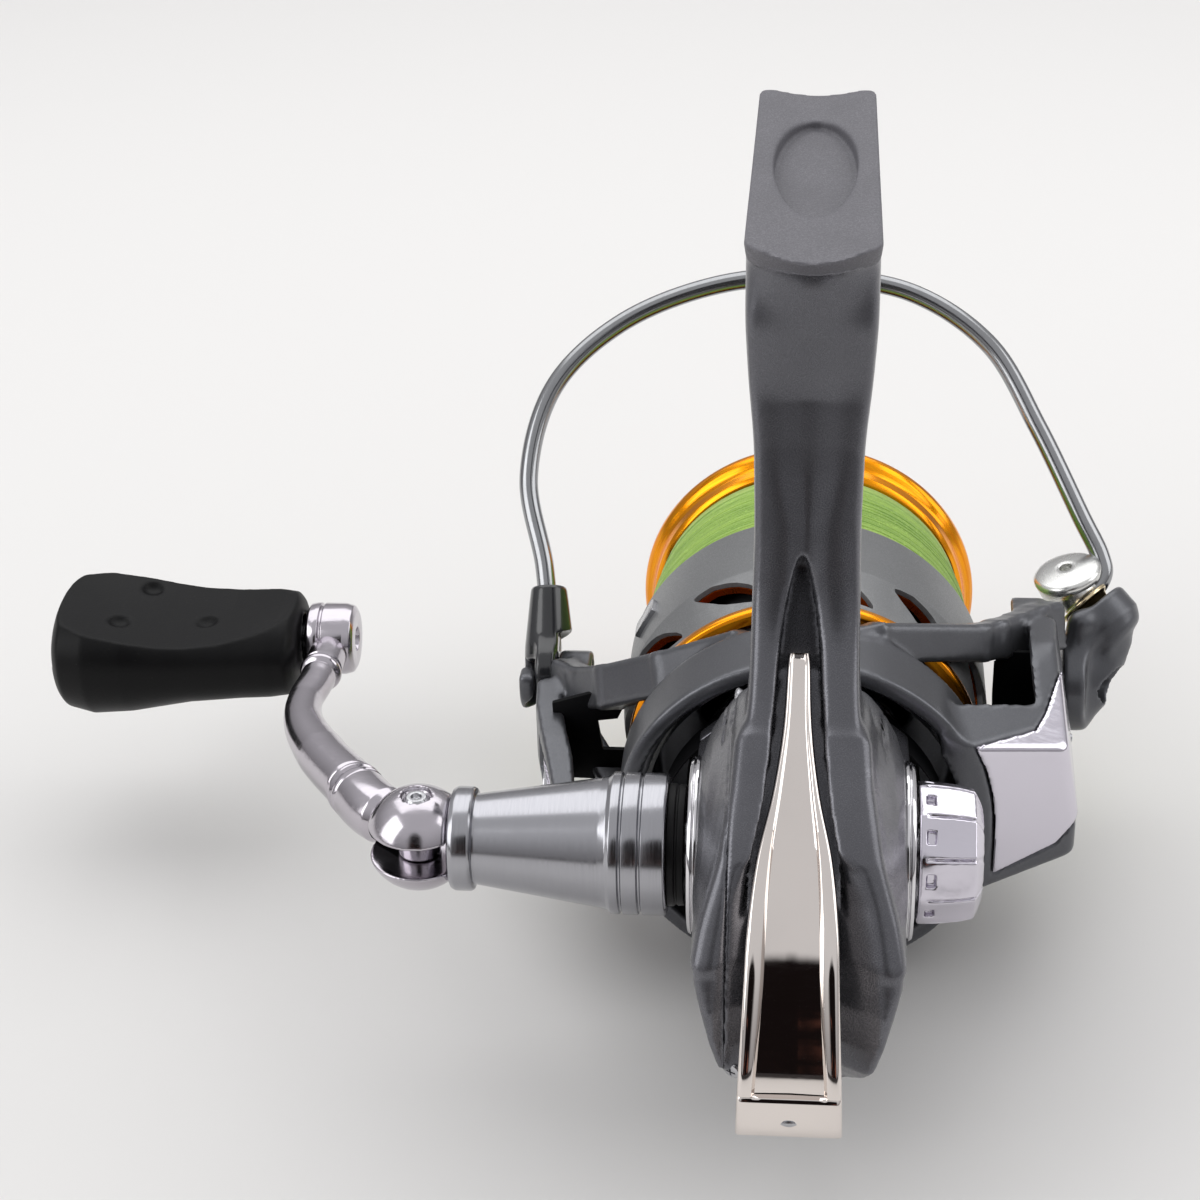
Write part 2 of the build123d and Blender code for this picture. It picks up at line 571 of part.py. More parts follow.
# ---------------------------------------------------------------- drive
def drive_gear():
    """Crown gear with radial teeth on a dished wheel."""
    inner = MESH_RADIUS - GEAR_FACE / 2
    root_x = GEAR_FACE_X - TOOTH_DEDENDUM
    wheel = turned_x([(GEAR_BACK_X, AXLE_RADIUS + SEAT_GAP), (GEAR_BACK_X, GEAR_OUTER),
                      (root_x, GEAR_OUTER),
                      (root_x, inner), (GEAR_BACK_X + GEAR_WEB, inner), (GEAR_BACK_X + GEAR_WEB, 5.4),
                      (-3.6, 5.4), (-3.6, AXLE_RADIUS + SEAT_GAP)], 0, 0)
    pitch = 2 * pi * MESH_RADIUS / DRIVE_TEETH
    root_half = pitch * (TOOTH_SHARE + 0.12) / 2
    tip_half = pitch * (TOOTH_SHARE - 0.14) / 2
    tip_x = GEAR_FACE_X + TOOTH_ADDENDUM
    tooth = slab_z([(root_x - 0.2, -root_half), (tip_x, -tip_half), (tip_x, tip_half),
                    (root_x - 0.2, root_half)],
                   inner, GEAR_OUTER)
    mesh_angle = degrees(atan2(MESH_Y, -HANDLE_Z))
    step = 360 / DRIVE_TEETH
    teeth = [tooth.rotate(Axis.X, -(mesh_angle + step * k)) for k in range(DRIVE_TEETH)]
    wheel = wheel.fuse(*teeth)
    for k in range(6):
        angle = radians(60 * k)
        wheel -= rod_x(1.7, -10, 0, 8.7 * cos(angle), 8.7 * sin(angle))
    return Pos(0, 0, HANDLE_Z) * wheel


def spur(teeth, phase, x0, width, bore):
    """Small spur wheel along X, centred on the origin."""
    radius = SPUR_MODULE * teeth / 2
    blank = rod_x(radius - SPUR_MODULE * 0.95, x0, x0 + width)
    pitch = 2 * pi * radius / teeth
    low = pitch * 0.27
    tip = pitch * 0.12
    base = radius - SPUR_MODULE * 1.1
    top = radius + SPUR_MODULE * 0.72
    tooth = slab_x([(base, -low), (top, -tip), (top, tip), (base, low)], x0, x0 + width)
    wheel = blank.fuse(*[tooth.rotate(Axis.X, phase + 360 * k / teeth) for k in range(teeth)])
    return wheel - rod_x(bore, x0 - 1, x0 + width + 1)


def spur_line_angle():
    """Direction, in degrees, from the drive axle to the oscillation gear."""
    return degrees(atan2(SPUR_Z - HANDLE_Z, SPUR_Y))


def axle_spur():
    """Small wheel on the axle that turns the oscillation gear."""
    wheel = spur(SPUR_DRIVER_TEETH, spur_line_angle(), SPUR_X, SPUR_WIDTH, AXLE_RADIUS + SEAT_GAP)
    return Pos(0, 0, HANDLE_Z) * wheel


def oscillation_gear():
    """Wheel with an off-centre pin that works the slider."""
    facing = spur_line_angle() + 180
    half_tooth = 180 / SPUR_DRIVEN_TEETH
    wheel = spur(SPUR_DRIVEN_TEETH, facing + half_tooth, SPUR_X, SPUR_WIDTH, GEAR_POST_RADIUS + RUN_FIT)
    wheel += rod_x(1.1, SPUR_X - 0.5, SPUR_X + 0.4, 0, SHAFT_STROKE / 2)
    return Pos(0, SPUR_Y, SPUR_Z) * wheel


def gear_post():
    """Pin in the case that the oscillation gear turns on."""
    stem_part = rod_x(GEAR_POST_RADIUS, SPUR_X - 0.2, ROOM_RIGHT_X - SEAT_GAP, SPUR_Y, SPUR_Z)
    return stem_part + rod_x(2.2, SPUR_X + SPUR_WIDTH + 0.3, ROOM_RIGHT_X - SEAT_GAP, SPUR_Y, SPUR_Z)


def drive_axle():
    """Hollow axle of the drive gear."""
    return rod_x(AXLE_RADIUS, AXLE_LEFT_X, AXLE_RIGHT_X, 0, HANDLE_Z) - rod_x(
        HANDLE_ROD_RADIUS + SEAT_GAP, -30, 30, 0, HANDLE_Z)


def handle_rod():
    """Threaded rod from the fork, through the axle, to the cap."""
    return rod_x(HANDLE_ROD_RADIUS, SLEEVE_END_X + 2.0, CAP_OUTER_X - 2.2, 0, HANDLE_Z)


def handle_sleeve():
    """Long tapered sleeve of the handle with its grooved band."""
    start = SLEEVE_START_X
    band = SLEEVE_BAND_RADIUS
    groove = band - 0.4
    end = SLEEVE_END_X
    profile = [(start, HANDLE_ROD_RADIUS + SEAT_GAP), (start, band), (start - 2.6, band),
               (start - 2.6, groove),
               (start - 2.9, groove), (start - 2.9, band), (start - 4.5, band), (start - 4.5, groove),
               (start - 4.8, groove), (start - 4.8, band), (start - 6.4, band),
               (start - 6.6, SLEEVE_BIG_RADIUS),
               (end + 3.0, SLEEVE_SMALL_RADIUS), (end + 2.8, SLEEVE_COLLAR_RADIUS - 0.2),
               (end + 0.3, SLEEVE_COLLAR_RADIUS), (end, SLEEVE_COLLAR_RADIUS - 0.4),
               (end, HANDLE_ROD_RADIUS + SEAT_GAP)]
    return turned_x(profile)


def sleeve_gasket():
    """Black seal between the sleeve and the case."""
    return turned_x([(SLEEVE_START_X + SEAT_GAP, AXLE_RADIUS + SEAT_GAP),
                     (SLEEVE_START_X + SEAT_GAP, 6.9),
                     (SLEEVE_START_X + 1.9, 6.7), (SLEEVE_START_X + 1.9, AXLE_RADIUS + SEAT_GAP)])


def handle_fork():
    """Round fork that carries the folding arm."""
    ball = Pos(FORK_CENTRE_X, 0, HANDLE_Z) * Sphere(FORK_RADIUS)
    ball &= box(-80, SLEEVE_END_X - SEAT_GAP, -20, 20, -20, 40)
    neck = rod_x(4.4, FORK_CENTRE_X + 2, SLEEVE_END_X - SEAT_GAP, 0, HANDLE_Z)
    slot = box(-80, FORK_CENTRE_X + KNUCKLE_RADIUS + SIDE_GAP, -20, 20, HANDLE_Z - FORK_SLOT / 2,
               HANDLE_Z + FORK_SLOT / 2)
    pin_hole = rod_z(FOLD_PIN_RADIUS + SEAT_GAP, -20, 40, FORK_CENTRE_X, 0)
    return (ball + neck) - slot - pin_hole


def fold_pin():
    """Pin that the arm folds on."""
    half = FORK_RADIUS - 0.15
    return rod_z(FOLD_PIN_RADIUS, HANDLE_Z - half, HANDLE_Z + half, FORK_CENTRE_X, 0)


def handle_cap():
    """Faceted screw cap on the far side of the handle."""
    inner = Plane(origin=(CAP_INNER_X + 0.6, 0, HANDLE_Z), z_dir=(1, 0, 0)) * RegularPolygon(CAP_RADIUS,
                                                                                             CAP_FACETS)
    outer = Plane(origin=(CAP_OUTER_X - 0.7, 0, HANDLE_Z),
                  z_dir=(1, 0, 0)) * RegularPolygon(CAP_TIP_RADIUS, CAP_FACETS)
    crown = loft([inner, outer])
    crown += rod_x(CAP_RADIUS - 0.6, CAP_INNER_X, CAP_INNER_X + 0.8, 0, HANDLE_Z)
    crown += turned_x([(CAP_OUTER_X - 0.8, 0), (CAP_OUTER_X - 0.8, CAP_TIP_RADIUS - 0.7),
                       (CAP_OUTER_X, CAP_TIP_RADIUS - 1.6), (CAP_OUTER_X, 0)])
    return crown - rod_x(HANDLE_ROD_RADIUS + RUN_FIT, CAP_INNER_X - 1, CAP_OUTER_X - 2.0, 0, HANDLE_Z)


# ---------------------------------------------------------------- handle arm and knob
def handle_arm():
    """Cranked arm from the knuckle to the knob's shaft."""
    knuckle = Pos(FORK_CENTRE_X, 0, HANDLE_Z) * Cylinder(KNUCKLE_RADIUS, KNUCKLE_THICK)
    start = Vector(FORK_CENTRE_X, 0, HANDLE_Z)
    elbow = Vector(*ARM_ELBOW)
    end = Vector((ARM_END_INNER_X + ARM_END_OUTER_X) / 2, KNOB_AXIS_Y, KNOB_AXIS_Z)
    run = (elbow - start).normalized()
    shoulder = start + run * (FORK_RADIUS + 1.2)
    tongue = along_axis(Pos(0, 0, 4) * Box(2 * KNUCKLE_RADIUS - 0.2, KNUCKLE_THICK, 8), start, run)
    tongue &= box(-80, 40, -20, 40, HANDLE_Z - KNUCKLE_THICK / 2, HANDLE_Z + KNUCKLE_THICK / 2)
    path = FilletPolyline(shoulder, elbow, end, radius=9)
    tube = sweep(Plane(origin=shoulder, z_dir=run) * Circle(ARM_TUBE_RADIUS), path=path)
    collar = along_axis(washer(ARM_TUBE_RADIUS + 0.7, 0.1, 0, 3.2), shoulder, run)
    barrel = rod_x(ARM_END_RADIUS, ARM_END_INNER_X, ARM_END_OUTER_X, KNOB_AXIS_Y, KNOB_AXIS_Z)
    arm = knuckle + tongue + tube + collar + barrel
    arm -= rod_z(FOLD_PIN_RADIUS + RUN_FIT, -20, 40, FORK_CENTRE_X, 0)
    return arm - rod_x(KNOB_SHAFT_RADIUS + SEAT_GAP, ARM_END_INNER_X - 2.0, -80, KNOB_AXIS_Y,
                       KNOB_AXIS_Z)


def knob_shaft():
    """Shaft that the knob turns on, with its head at the far end."""
    far = KNOB_INNER_X - KNOB_LENGTH + 7.0
    shaft = rod_x(KNOB_SHAFT_RADIUS, ARM_END_INNER_X - 2.2, far, KNOB_AXIS_Y, KNOB_AXIS_Z)
    return shaft + rod_x(KNOB_SHAFT_RADIUS + 0.9, far, far - 1.2, KNOB_AXIS_Y, KNOB_AXIS_Z)


def knob_bushes():
    """Two bushes inside the knob."""
    places = (KNOB_INNER_X - 1.0, KNOB_INNER_X - KNOB_LENGTH + 9.0)
    ring = [rod_x(3.2, x, x - 1.9, KNOB_AXIS_Y, KNOB_AXIS_Z) for x in places]
    return group(piece - rod_x(KNOB_SHAFT_RADIUS + RUN_FIT, -120, 0, KNOB_AXIS_Y,
                               KNOB_AXIS_Z) for piece in ring)


def knob_grip():
    """Soft grip, wide at its outer end."""
    near = KNOB_INNER_X
    far = near - KNOB_LENGTH
    profile = [(near, 0), (near, 5.2), (near - 1.6, 6.4), (near - 7.0, 6.5), (near - 15.0, 7.2),
               (near - 22.0, 8.6),
               (near - 27.0, 9.35), (near - 30.6, 9.0), (far + 0.6, 7.2), (far, 5.0), (far, 0)]
    grip = turned_x(profile, KNOB_AXIS_Y, KNOB_AXIS_Z)
    bore = rod_x(3.2 + SEAT_GAP, near + 1, far + 4.5, KNOB_AXIS_Y, KNOB_AXIS_Z)
    return grip - bore


# ---------------------------------------------------------------- rotor
def rotor():
    """Rotor cup with its two arms."""
    rim = ROTOR_RIM_RADIUS
    barrel = ROTOR_BARREL_RADIUS
    hollow = barrel - ROTOR_WALL
    web = ROTOR_WEB_Y
    cup = turned_y([(ROTOR_OPENING_RADIUS, ROTOR_REAR_Y), (rim - 0.6, ROTOR_REAR_Y),
                    (rim, ROTOR_REAR_Y + 0.8),
                    (rim, ROTOR_RIM_FRONT_Y - 2), (barrel, ROTOR_RIM_FRONT_Y + 1),
                    (barrel, ROTOR_FRONT_Y),
                    (hollow, ROTOR_FRONT_Y), (hollow, web + ROTOR_WEB_THICK),
                    (ROTOR_HUB_RADIUS, web + ROTOR_WEB_THICK),
                    (ROTOR_HUB_RADIUS, ROTOR_HUB_FRONT_Y),
                    (PINION_TUBE_RADIUS + SEAT_GAP, ROTOR_HUB_FRONT_Y),
                    (PINION_TUBE_RADIUS + SEAT_GAP, web - 0.8), (ROTOR_HUB_RADIUS, web - 0.8),
                    (ROTOR_HUB_RADIUS, web),
                    (hollow, web), (hollow, ROTOR_REAR_Y + 4)])
    inside = rod_y(barrel, ROTOR_REAR_Y, ROTOR_FRONT_Y)
    body = cup
    for side in (-1, 1):
        body += arm(side) - inside
        body -= arm_pocket(side)
        body -= rod_x(0.85, side * (ARM_X - 1.2), side * (ARM_X + 1), COVER_SCREW_Y, 0)
    for k in range(3):
        angle = radians(30 + 120 * k)
        body -= rod_y(2.4, 28, 36, 12 * cos(angle), 12 * sin(angle))
    body -= rod_y(ROTOR_NUT_WELL, web + ROTOR_WEB_THICK - 0.02, web + ROTOR_WEB_THICK + 2,
                  NUT_SCREW_RADIUS, 0)
    return body - rod_y(0.85, web - 1, web + 4, NUT_SCREW_RADIUS, 0)


def arm(side):
    """One rotor arm: sloping root wall, outer plate, ear and two beams."""
    x = ARM_X
    root = slab_z([(side * 18.4, 17.2), (side * 22.2, 16.6), (side * (x - 1.2), 21.6),
                   (side * x, ARM_REAR_Y + 1),
                   (side * (x - ARM_THICK), 31), (side * (x - ARM_THICK - 1.2), 27.2),
                   (side * 18.4, 23.0)], -10, 10)
    plate = slab_x([(ARM_REAR_Y + 1, -9.6), (ARM_REAR_Y + 1, 9.6), (32, 9.2),
                    (EAR_Y - 3, EAR_RADIUS - 0.1), (EAR_Y, EAR_RADIUS),
                    (EAR_Y, -EAR_RADIUS), (EAR_Y - 3, -EAR_RADIUS + 0.1), (32, -9.2)],
                   side * (x - ARM_THICK), side * x)
    plate += rod_x(EAR_RADIUS, side * (x - ARM_THICK), side * x, EAR_Y, 0)
    piece = root + plate
    for up in (-1, 1):
        piece += beam(side, up)
    return piece - rod_x(1.6, side * (x - ARM_THICK - 1), side * (x + 1), EAR_Y, 0)


def beam(side, up):
    """Beam from the rotor's barrel to the ear of an arm."""
    low = [(5.0, 19.6, 18.6), (5.0, 25.6, 18.6), (5.0, 25.6, 21.8), (5.0, 19.6, 21.8)]
    turn = [(12.2, 22.6, 19.0), (12.6, 28.4, 19.0), (14.2, 28.8, 21.2), (13.8, 22.6, 21.6)]
    middle = [(18.8, 27.8, 15.2), (19.4, 33.2, 13.8), (22.0, 33.6, 15.6), (21.4, 27.8, 17.4)]
    high = [(31.6, 41.0, 3.0), (31.6, 47.6, 2.2), (34.2, 47.6, 5.2), (34.2, 40.4, 7.2)]
    sections = [[(side * x, y, up * z) for x, y, z in part] for part in (low, turn, middle, high)]
    return skin(sections)


def arm_pocket(side):
    """Hollow in an arm's outer plate, under its cover."""
    x = ARM_X
    return box(side * (x - 2.1), side * (x + 1), POCKET_REAR_Y, POCKET_FRONT_Y, -POCKET_HALF,
               POCKET_HALF)


def arm_cover(side):
    """Bright cover over the root and the pocket of an arm."""
    x = ARM_X
    gap = SEAT_GAP
    band = slab_z([(side * 23.6, 16.4), (side * (x - 0.8), 20.4), (side * (x + 1.0), 22.8),
                   (side * (x + 1.0), 39.0),
                   (side * (x + gap), 39.0), (side * (x + gap), ARM_REAR_Y + 1),
                   (side * (x - 1.2), 21.58), (side * 23.6, 17.1)],
                  -9.4, 9.4)
    outline = slab_x([(14, -9.4), (14, 9.4), (30, 9.4), (39.0, 6.4), (39.0, -6.4), (30, -9.4)], -60, 60)
    cover = (band & outline) - arm_body_shadow(side)
    cover -= rod_x(0.85, side * (x - 2), side * (x + 2), COVER_SCREW_Y, 0)
    return cover - rod_x(1.55, side * (x + 0.35), side * (x + 2), COVER_SCREW_Y, 0)


def arm_body_shadow(side):
    """Root of the arm, so that its cover rests on it."""
    x = ARM_X
    return slab_z([(side * 18.4, 17.2), (side * 22.2, 16.6), (side * (x - 1.2), 21.6),
                   (side * x, ARM_REAR_Y + 1),
                   (side * (x - ARM_THICK), 31), (side * 18.4, 31)], -12, 12)


def cover_screw(side):
    """Screw of an arm cover."""
    return Pos(side * (ARM_X + 1.1), COVER_SCREW_Y, 0) * Rot(0, side * 90, 0) * screw(0.8, 1.4, 1.5,
                                                                                      0.7)


def pinion_gear():
    """Helical pinion with the tube that carries the rotor."""
    root = PINION_RADIUS - TOOTH_DEDENDUM
    tip = PINION_RADIUS + TOOTH_ADDENDUM
    pitch = 2 * pi * PINION_RADIUS / PINION_TEETH
    root_half = pitch * (TOOTH_SHARE + 0.10) / 2
    tip_half = pitch * (TOOTH_SHARE - 0.14) / 2
    low = MESH_Y - PINION_FACE / 2
    high = MESH_Y + PINION_FACE / 2
    twist = degrees(PINION_FACE * tan(HELIX_ANGLE) / PINION_RADIUS)
    section = Circle(root + 0.05)
    for k in range(PINION_TEETH):
        tooth = make_face(Polyline((root - 0.3, -root_half), (tip, -tip_half), (tip, tip_half),
                                   (root - 0.3, root_half),
                                   close=True))
        section += Rot(0, 0, 360 * (k + 0.5) / PINION_TEETH) * tooth
    bottom = Rot(0, 0, -PINION_HAND * twist / 2) * section
    teeth = Solid.extrude_linear_with_rotation(bottom.face(), Vector(0, 0, 0),
                                               Vector(0, 0, PINION_FACE),
                                               PINION_HAND * twist)
    teeth = Pos(0, low, 0) * Rot(-90, 0, 0) * teeth
    tube = rod_y(PINION_TUBE_RADIUS, high + PINION_NECK, PINION_FRONT_Y)
    tube += rod_y(root, high - 0.2, high + PINION_NECK + 0.1)
    rear = rod_y(root, low - 1.2, low + 0.2)
    return teeth + tube + rear - rod_y(SHAFT_RADIUS + RUN_FIT, -10, 60)


def clutch_sleeve():
    """Hardened sleeve that turns inside the one-way clutch."""
    return turned_y([(PINION_TUBE_RADIUS + SEAT_GAP, CLUTCH_REAR_Y + 0.3),
                     (CLUTCH_SLEEVE_RADIUS, CLUTCH_REAR_Y + 0.3),
                     (CLUTCH_SLEEVE_RADIUS, CLUTCH_FRONT_Y - 0.1),
                     (PINION_TUBE_RADIUS + SEAT_GAP, CLUTCH_FRONT_Y - 0.1)])


def rotor_nut():
    """Hexagon nut that holds the rotor on the pinion."""
    blank = Plane(origin=(0, ROTOR_HUB_FRONT_Y + SEAT_GAP, 0), z_dir=(0, 1, 0)) * RegularPolygon(5.2, 6)
    return extrude(blank, 2.6) - rod_y(PINION_TUBE_RADIUS + SEAT_GAP, 30, 50)


def nut_lock():
    """Screw and washer that stop the rotor nut from turning."""
    place = Pos(NUT_SCREW_RADIUS, ROTOR_WEB_Y + ROTOR_WEB_THICK + 1.35, 0) * Rot(-90, 0, 0)
    washer_place = Pos(NUT_SCREW_RADIUS, ROTOR_WEB_Y + ROTOR_WEB_THICK + 0.3, 0)
    ring = washer_place * Rot(-90, 0, 0) * (Cylinder(1.9, 0.5) - Cylinder(0.95, 1))
    return group([place * screw(0.8, 3.0, 1.5, 0.75), ring])


def bail_spring():
    """Coil spring in the right arm that snaps the bail over."""
    length = POCKET_FRONT_Y - POCKET_REAR_Y - 1.4
    wire = Helix(pitch=1.15, height=length, radius=0.62)
    profile = Plane(origin=wire @ 0, z_dir=wire % 0) * Circle(0.2)
    coil = sweep(profile, path=wire, is_frenet=True)
    return Pos(ARM_X - 1.05, POCKET_REAR_Y + 0.7, 1.8) * Rot(-90, 0, 0) * coil


def kick_lever():
    """Flat lever in the left arm that trips the open bail."""
    x = -ARM_X
    plate = box(x + 0.5, x + 1.7, POCKET_REAR_Y + 0.4, POCKET_FRONT_Y - KICK_TRAVEL - 0.4, -1.5, 1.5)
    return plate


def balance_weight():
    """Weight inside the rotor opposite the line roller."""
    block = turned_y([(14.2, 35), (17.7, 35), (17.7, 41), (14.2, 41)])
    return block & box(-20, -8, 30, 45, -9, 9)


# ---------------------------------------------------------------- bail
def bail_wire():
    """Tubular wire of the bail with its hooked end at the line roller."""
    straight = Vector(*BAIL_DIR)
    hook = Vector(*roller_place(CONE_CENTRE)) - Vector(*on_bail(*BAIL_POINTS[-1]))
    path = Spline(*[on_bail(x, t, o) for x, t, o in BAIL_POINTS], tangents=(straight, hook))
    return sweep(Plane(origin=path @ 0, z_dir=path % 0) * Circle(BAIL_WIRE_RADIUS), path=path)


def bail_holder():
    """Lever on the left ear that holds the plain end of the wire."""
    near = -(ARM_X + BAIL_ARM_GAP)
    far = near - BAIL_ARM_THICK
    middle = BAIL_POINTS[0][0]
    hub = rod_x(EAR_RADIUS, far, near, EAR_Y, 0)
    socket_start = on_bail(middle, 1.0)
    direction = Vector(*on_bail(middle, 2)) - Vector(*on_bail(middle, 1))
    socket = along_axis(Pos(0, 0, 5.2) * Cone(3.0, 2.45, 10.4), socket_start, direction)
    socket &= box(-60, -ARM_X - BAIL_ARM_GAP + 2.0, 0, 90, -30, 40)
    arm_zone = rod_x(EAR_RADIUS + 0.5, near + 10, near, EAR_Y, 0)
    body = hub + (socket - arm_zone)
    body -= rod_x(1.62, -60, -30, EAR_Y, 0)
    body -= rod_x(2.5, -60, far + 1.0, EAR_Y, 0)
    bore = Pos(0, 0, 10) * Cylinder(BAIL_WIRE_RADIUS + 0.1, 12)
    return body - along_axis(bore, on_bail(middle, 1.95), direction)


def roller_place(s):
    """Point on the line roller's axis, s from the middle of the roller."""
    return tuple(c + s * a for c, a in zip(ROLLER_CENTRE, ROLLER_AXIS))


def roller_arm():
    """Arm on the right ear that carries the line roller."""
    near = ARM_X + BAIL_ARM_GAP
    hub = rod_x(EAR_RADIUS - 0.2, near, near + 2.6, EAR_Y, 0)
    seat = along_axis(washer(4.7, 0.05, -2.6, 0), roller_place(-ROLLER_WIDTH / 2 - SIDE_GAP),
                      ROLLER_AXIS)
    low = [(near, EAR_Y - 4.4, -3.0), (near, EAR_Y - 2.0, 4.6), (near + 2.6, EAR_Y - 2.0, 4.6),
           (near + 2.6, EAR_Y - 4.4, -3.0)]
    middle = [(near + 0.2, EAR_Y + 3.4, -3.6), (near + 0.2, EAR_Y + 1.0, 4.8),
              (near + 4.2, EAR_Y + 1.0, 4.8),
              (near + 4.2, EAR_Y + 3.4, -3.6)]
    seat_centre = Vector(*roller_place(-ROLLER_WIDTH / 2 - SIDE_GAP - 1.4))
    bridge = skin([low, middle, [tuple(seat_centre + Vector(*d)) for d in
                                 ((-0.6, 2.4, -2.6), (-0.9, -2.2, 2.6), (1.6, -1.4, 1.4),
                                  (1.6, 1.8, -1.8))]])
    body = hub + seat + bridge
    clearance = along_axis(Pos(0, 0, 0) * Cylinder(ROLLER_RADIUS + 0.9, ROLLER_WIDTH + 2 * SIDE_GAP),
                           ROLLER_CENTRE, ROLLER_AXIS)
    body -= clearance
    body -= rod_x(1.62, 30, 60, EAR_Y, 0)
    body -= rod_x(2.5, near + 1.6, 60, EAR_Y, 0)
    return body - along_axis(Cylinder(ROLLER_PIN_RADIUS + SEAT_GAP, 30), ROLLER_CENTRE, ROLLER_AXIS)


def roller_cone():
    """Domed cap at the inner end of the line roller's axis."""
    start = ROLLER_WIDTH / 2 + SIDE_GAP
    dome = Pos(0, 0, CONE_CENTRE) * Sphere(CONE_RADIUS)
    dome &= Pos(0, 0, start + 3.5) * Cylinder(5, 7)
    base = washer(2.6, 0.05, start, start + 1.4)
    cone = along_axis(dome + base, ROLLER_CENTRE, ROLLER_AXIS)
    cone -= along_axis(Cylinder(ROLLER_PIN_RADIUS + SEAT_GAP, 30), ROLLER_CENTRE, ROLLER_AXIS)
    return cone


def roller_pin():
    """Screw through the cone, the roller and the arm."""
    low = -ROLLER_WIDTH / 2 - SIDE_GAP - 2.3
    high = ROLLER_WIDTH / 2 + SIDE_GAP + 4.0
    return along_axis(Pos(0, 0, (low + high) / 2) * Cylinder(ROLLER_PIN_RADIUS, high - low),
                      ROLLER_CENTRE, ROLLER_AXIS)


def bail_screws():
    """Shouldered screws that the bail turns on."""
    pieces = []
    for side, head_x in ((-1, ARM_X + BAIL_ARM_GAP + BAIL_ARM_THICK), (1, ARM_X + BAIL_ARM_GAP + 2.6)):
        shank = rod_x(1.55, side * (ARM_X - ARM_THICK - 0.2), side * (head_x - 0.3), EAR_Y, 0)
        head = rod_x(2.45, side * (head_x - 0.95), side * (head_x - 0.2), EAR_Y, 0)
        slot = box(side * (head_x - 0.6), side * (head_x + 1), EAR_Y - 1.7, EAR_Y + 1.7, -0.35, 0.35)
        pieces.append(shank + head - slot)
    return group(pieces)


def line_roller():
    """Grooved roller that the line runs over."""
    half = ROLLER_WIDTH / 2
    profile = make_face(Polyline((1.5, -half), (ROLLER_RADIUS, -half),
                                 (ROLLER_RADIUS - 0.7, -half + 1.0),
                                 (ROLLER_RADIUS - 0.9, 0.3), (ROLLER_RADIUS - 0.3, half - 0.7),
                                 (ROLLER_RADIUS, half),
                                 (1.5, half), close=True))
    return along_axis(revolve(Rot(90, 0, 0) * profile, Axis.Z, 360), ROLLER_CENTRE, ROLLER_AXIS)


def roller_bush():
    """Bush between the line roller and its pin."""
    half = ROLLER_WIDTH / 2
    return along_axis(washer(1.48, ROLLER_PIN_RADIUS + RUN_FIT, -half, half), ROLLER_CENTRE,
                      ROLLER_AXIS)


# ---------------------------------------------------------------- shaft and spool
def main_shaft():
    """Shaft that carries the spool and slides to lay the line."""
    shaft = rod_y(SHAFT_RADIUS, SHAFT_REAR_Y, SHAFT_FRONT_Y)
    return shaft - rod_x(0.62, -4, 4, SHAFT_PIN_Y, 0)


def oscillation_slider():
    """Block on the rear of the shaft, with the slot for the oscillation pin."""
    block = box(-2.3, SPUR_X - 0.9, SHAFT_REAR_Y - 0.6, SHAFT_REAR_Y + 7.4, -7.0, 3.9)
    slot = box(SPUR_X - 1.7, SPUR_X, SHAFT_REAR_Y + 2.2, SHAFT_REAR_Y + 4.8, -6.2, 3.2)
    block -= slot
    block -= rod_x(1.2 + SEAT_GAP, SLIDER_SCREW_X + SLIDER_SCREW_THICK + SEAT_GAP, -4, SLIDER_SCREW_Y,
                   SLIDER_SCREW_Z)
    block -= rod_y(SHAFT_RADIUS + SEAT_GAP, -40, 20)
    block -= rod_y(GUIDE_RADIUS + RUN_FIT, -40, 20, GUIDE_X, GUIDE_Z)
    return block - box(-0.5, 0.5, SHAFT_REAR_Y - 2, SHAFT_REAR_Y + 1.2, 0, 5)


def slider_screw():
    """Screw that clamps the slider to the shaft."""
    return rod_x(1.2, SLIDER_SCREW_X, SLIDER_SCREW_X + SLIDER_SCREW_THICK, SLIDER_SCREW_Y,
                 SLIDER_SCREW_Z)


def click_gear():
    """Toothed seat under the spool, pinned to the shaft."""
    seat = turned_y([(SHAFT_RADIUS + SEAT_GAP, 43.0), (4.6, 43.0), (4.6, 45.7),
                     (SHAFT_RADIUS + SEAT_GAP, 45.7)])
    for k in range(12):
        angle = radians(30 * k + 15)
        seat -= rod_y(0.55, 40, 50, 4.75 * cos(angle), 4.75 * sin(angle))
    return seat - rod_x(0.62, -6, 6, SHAFT_PIN_Y, 0)


def shaft_pin():
    """Cross pin through the shaft that holds the click gear."""
    return rod_x(0.6, -4.4, 4.4, SHAFT_PIN_Y, 0)


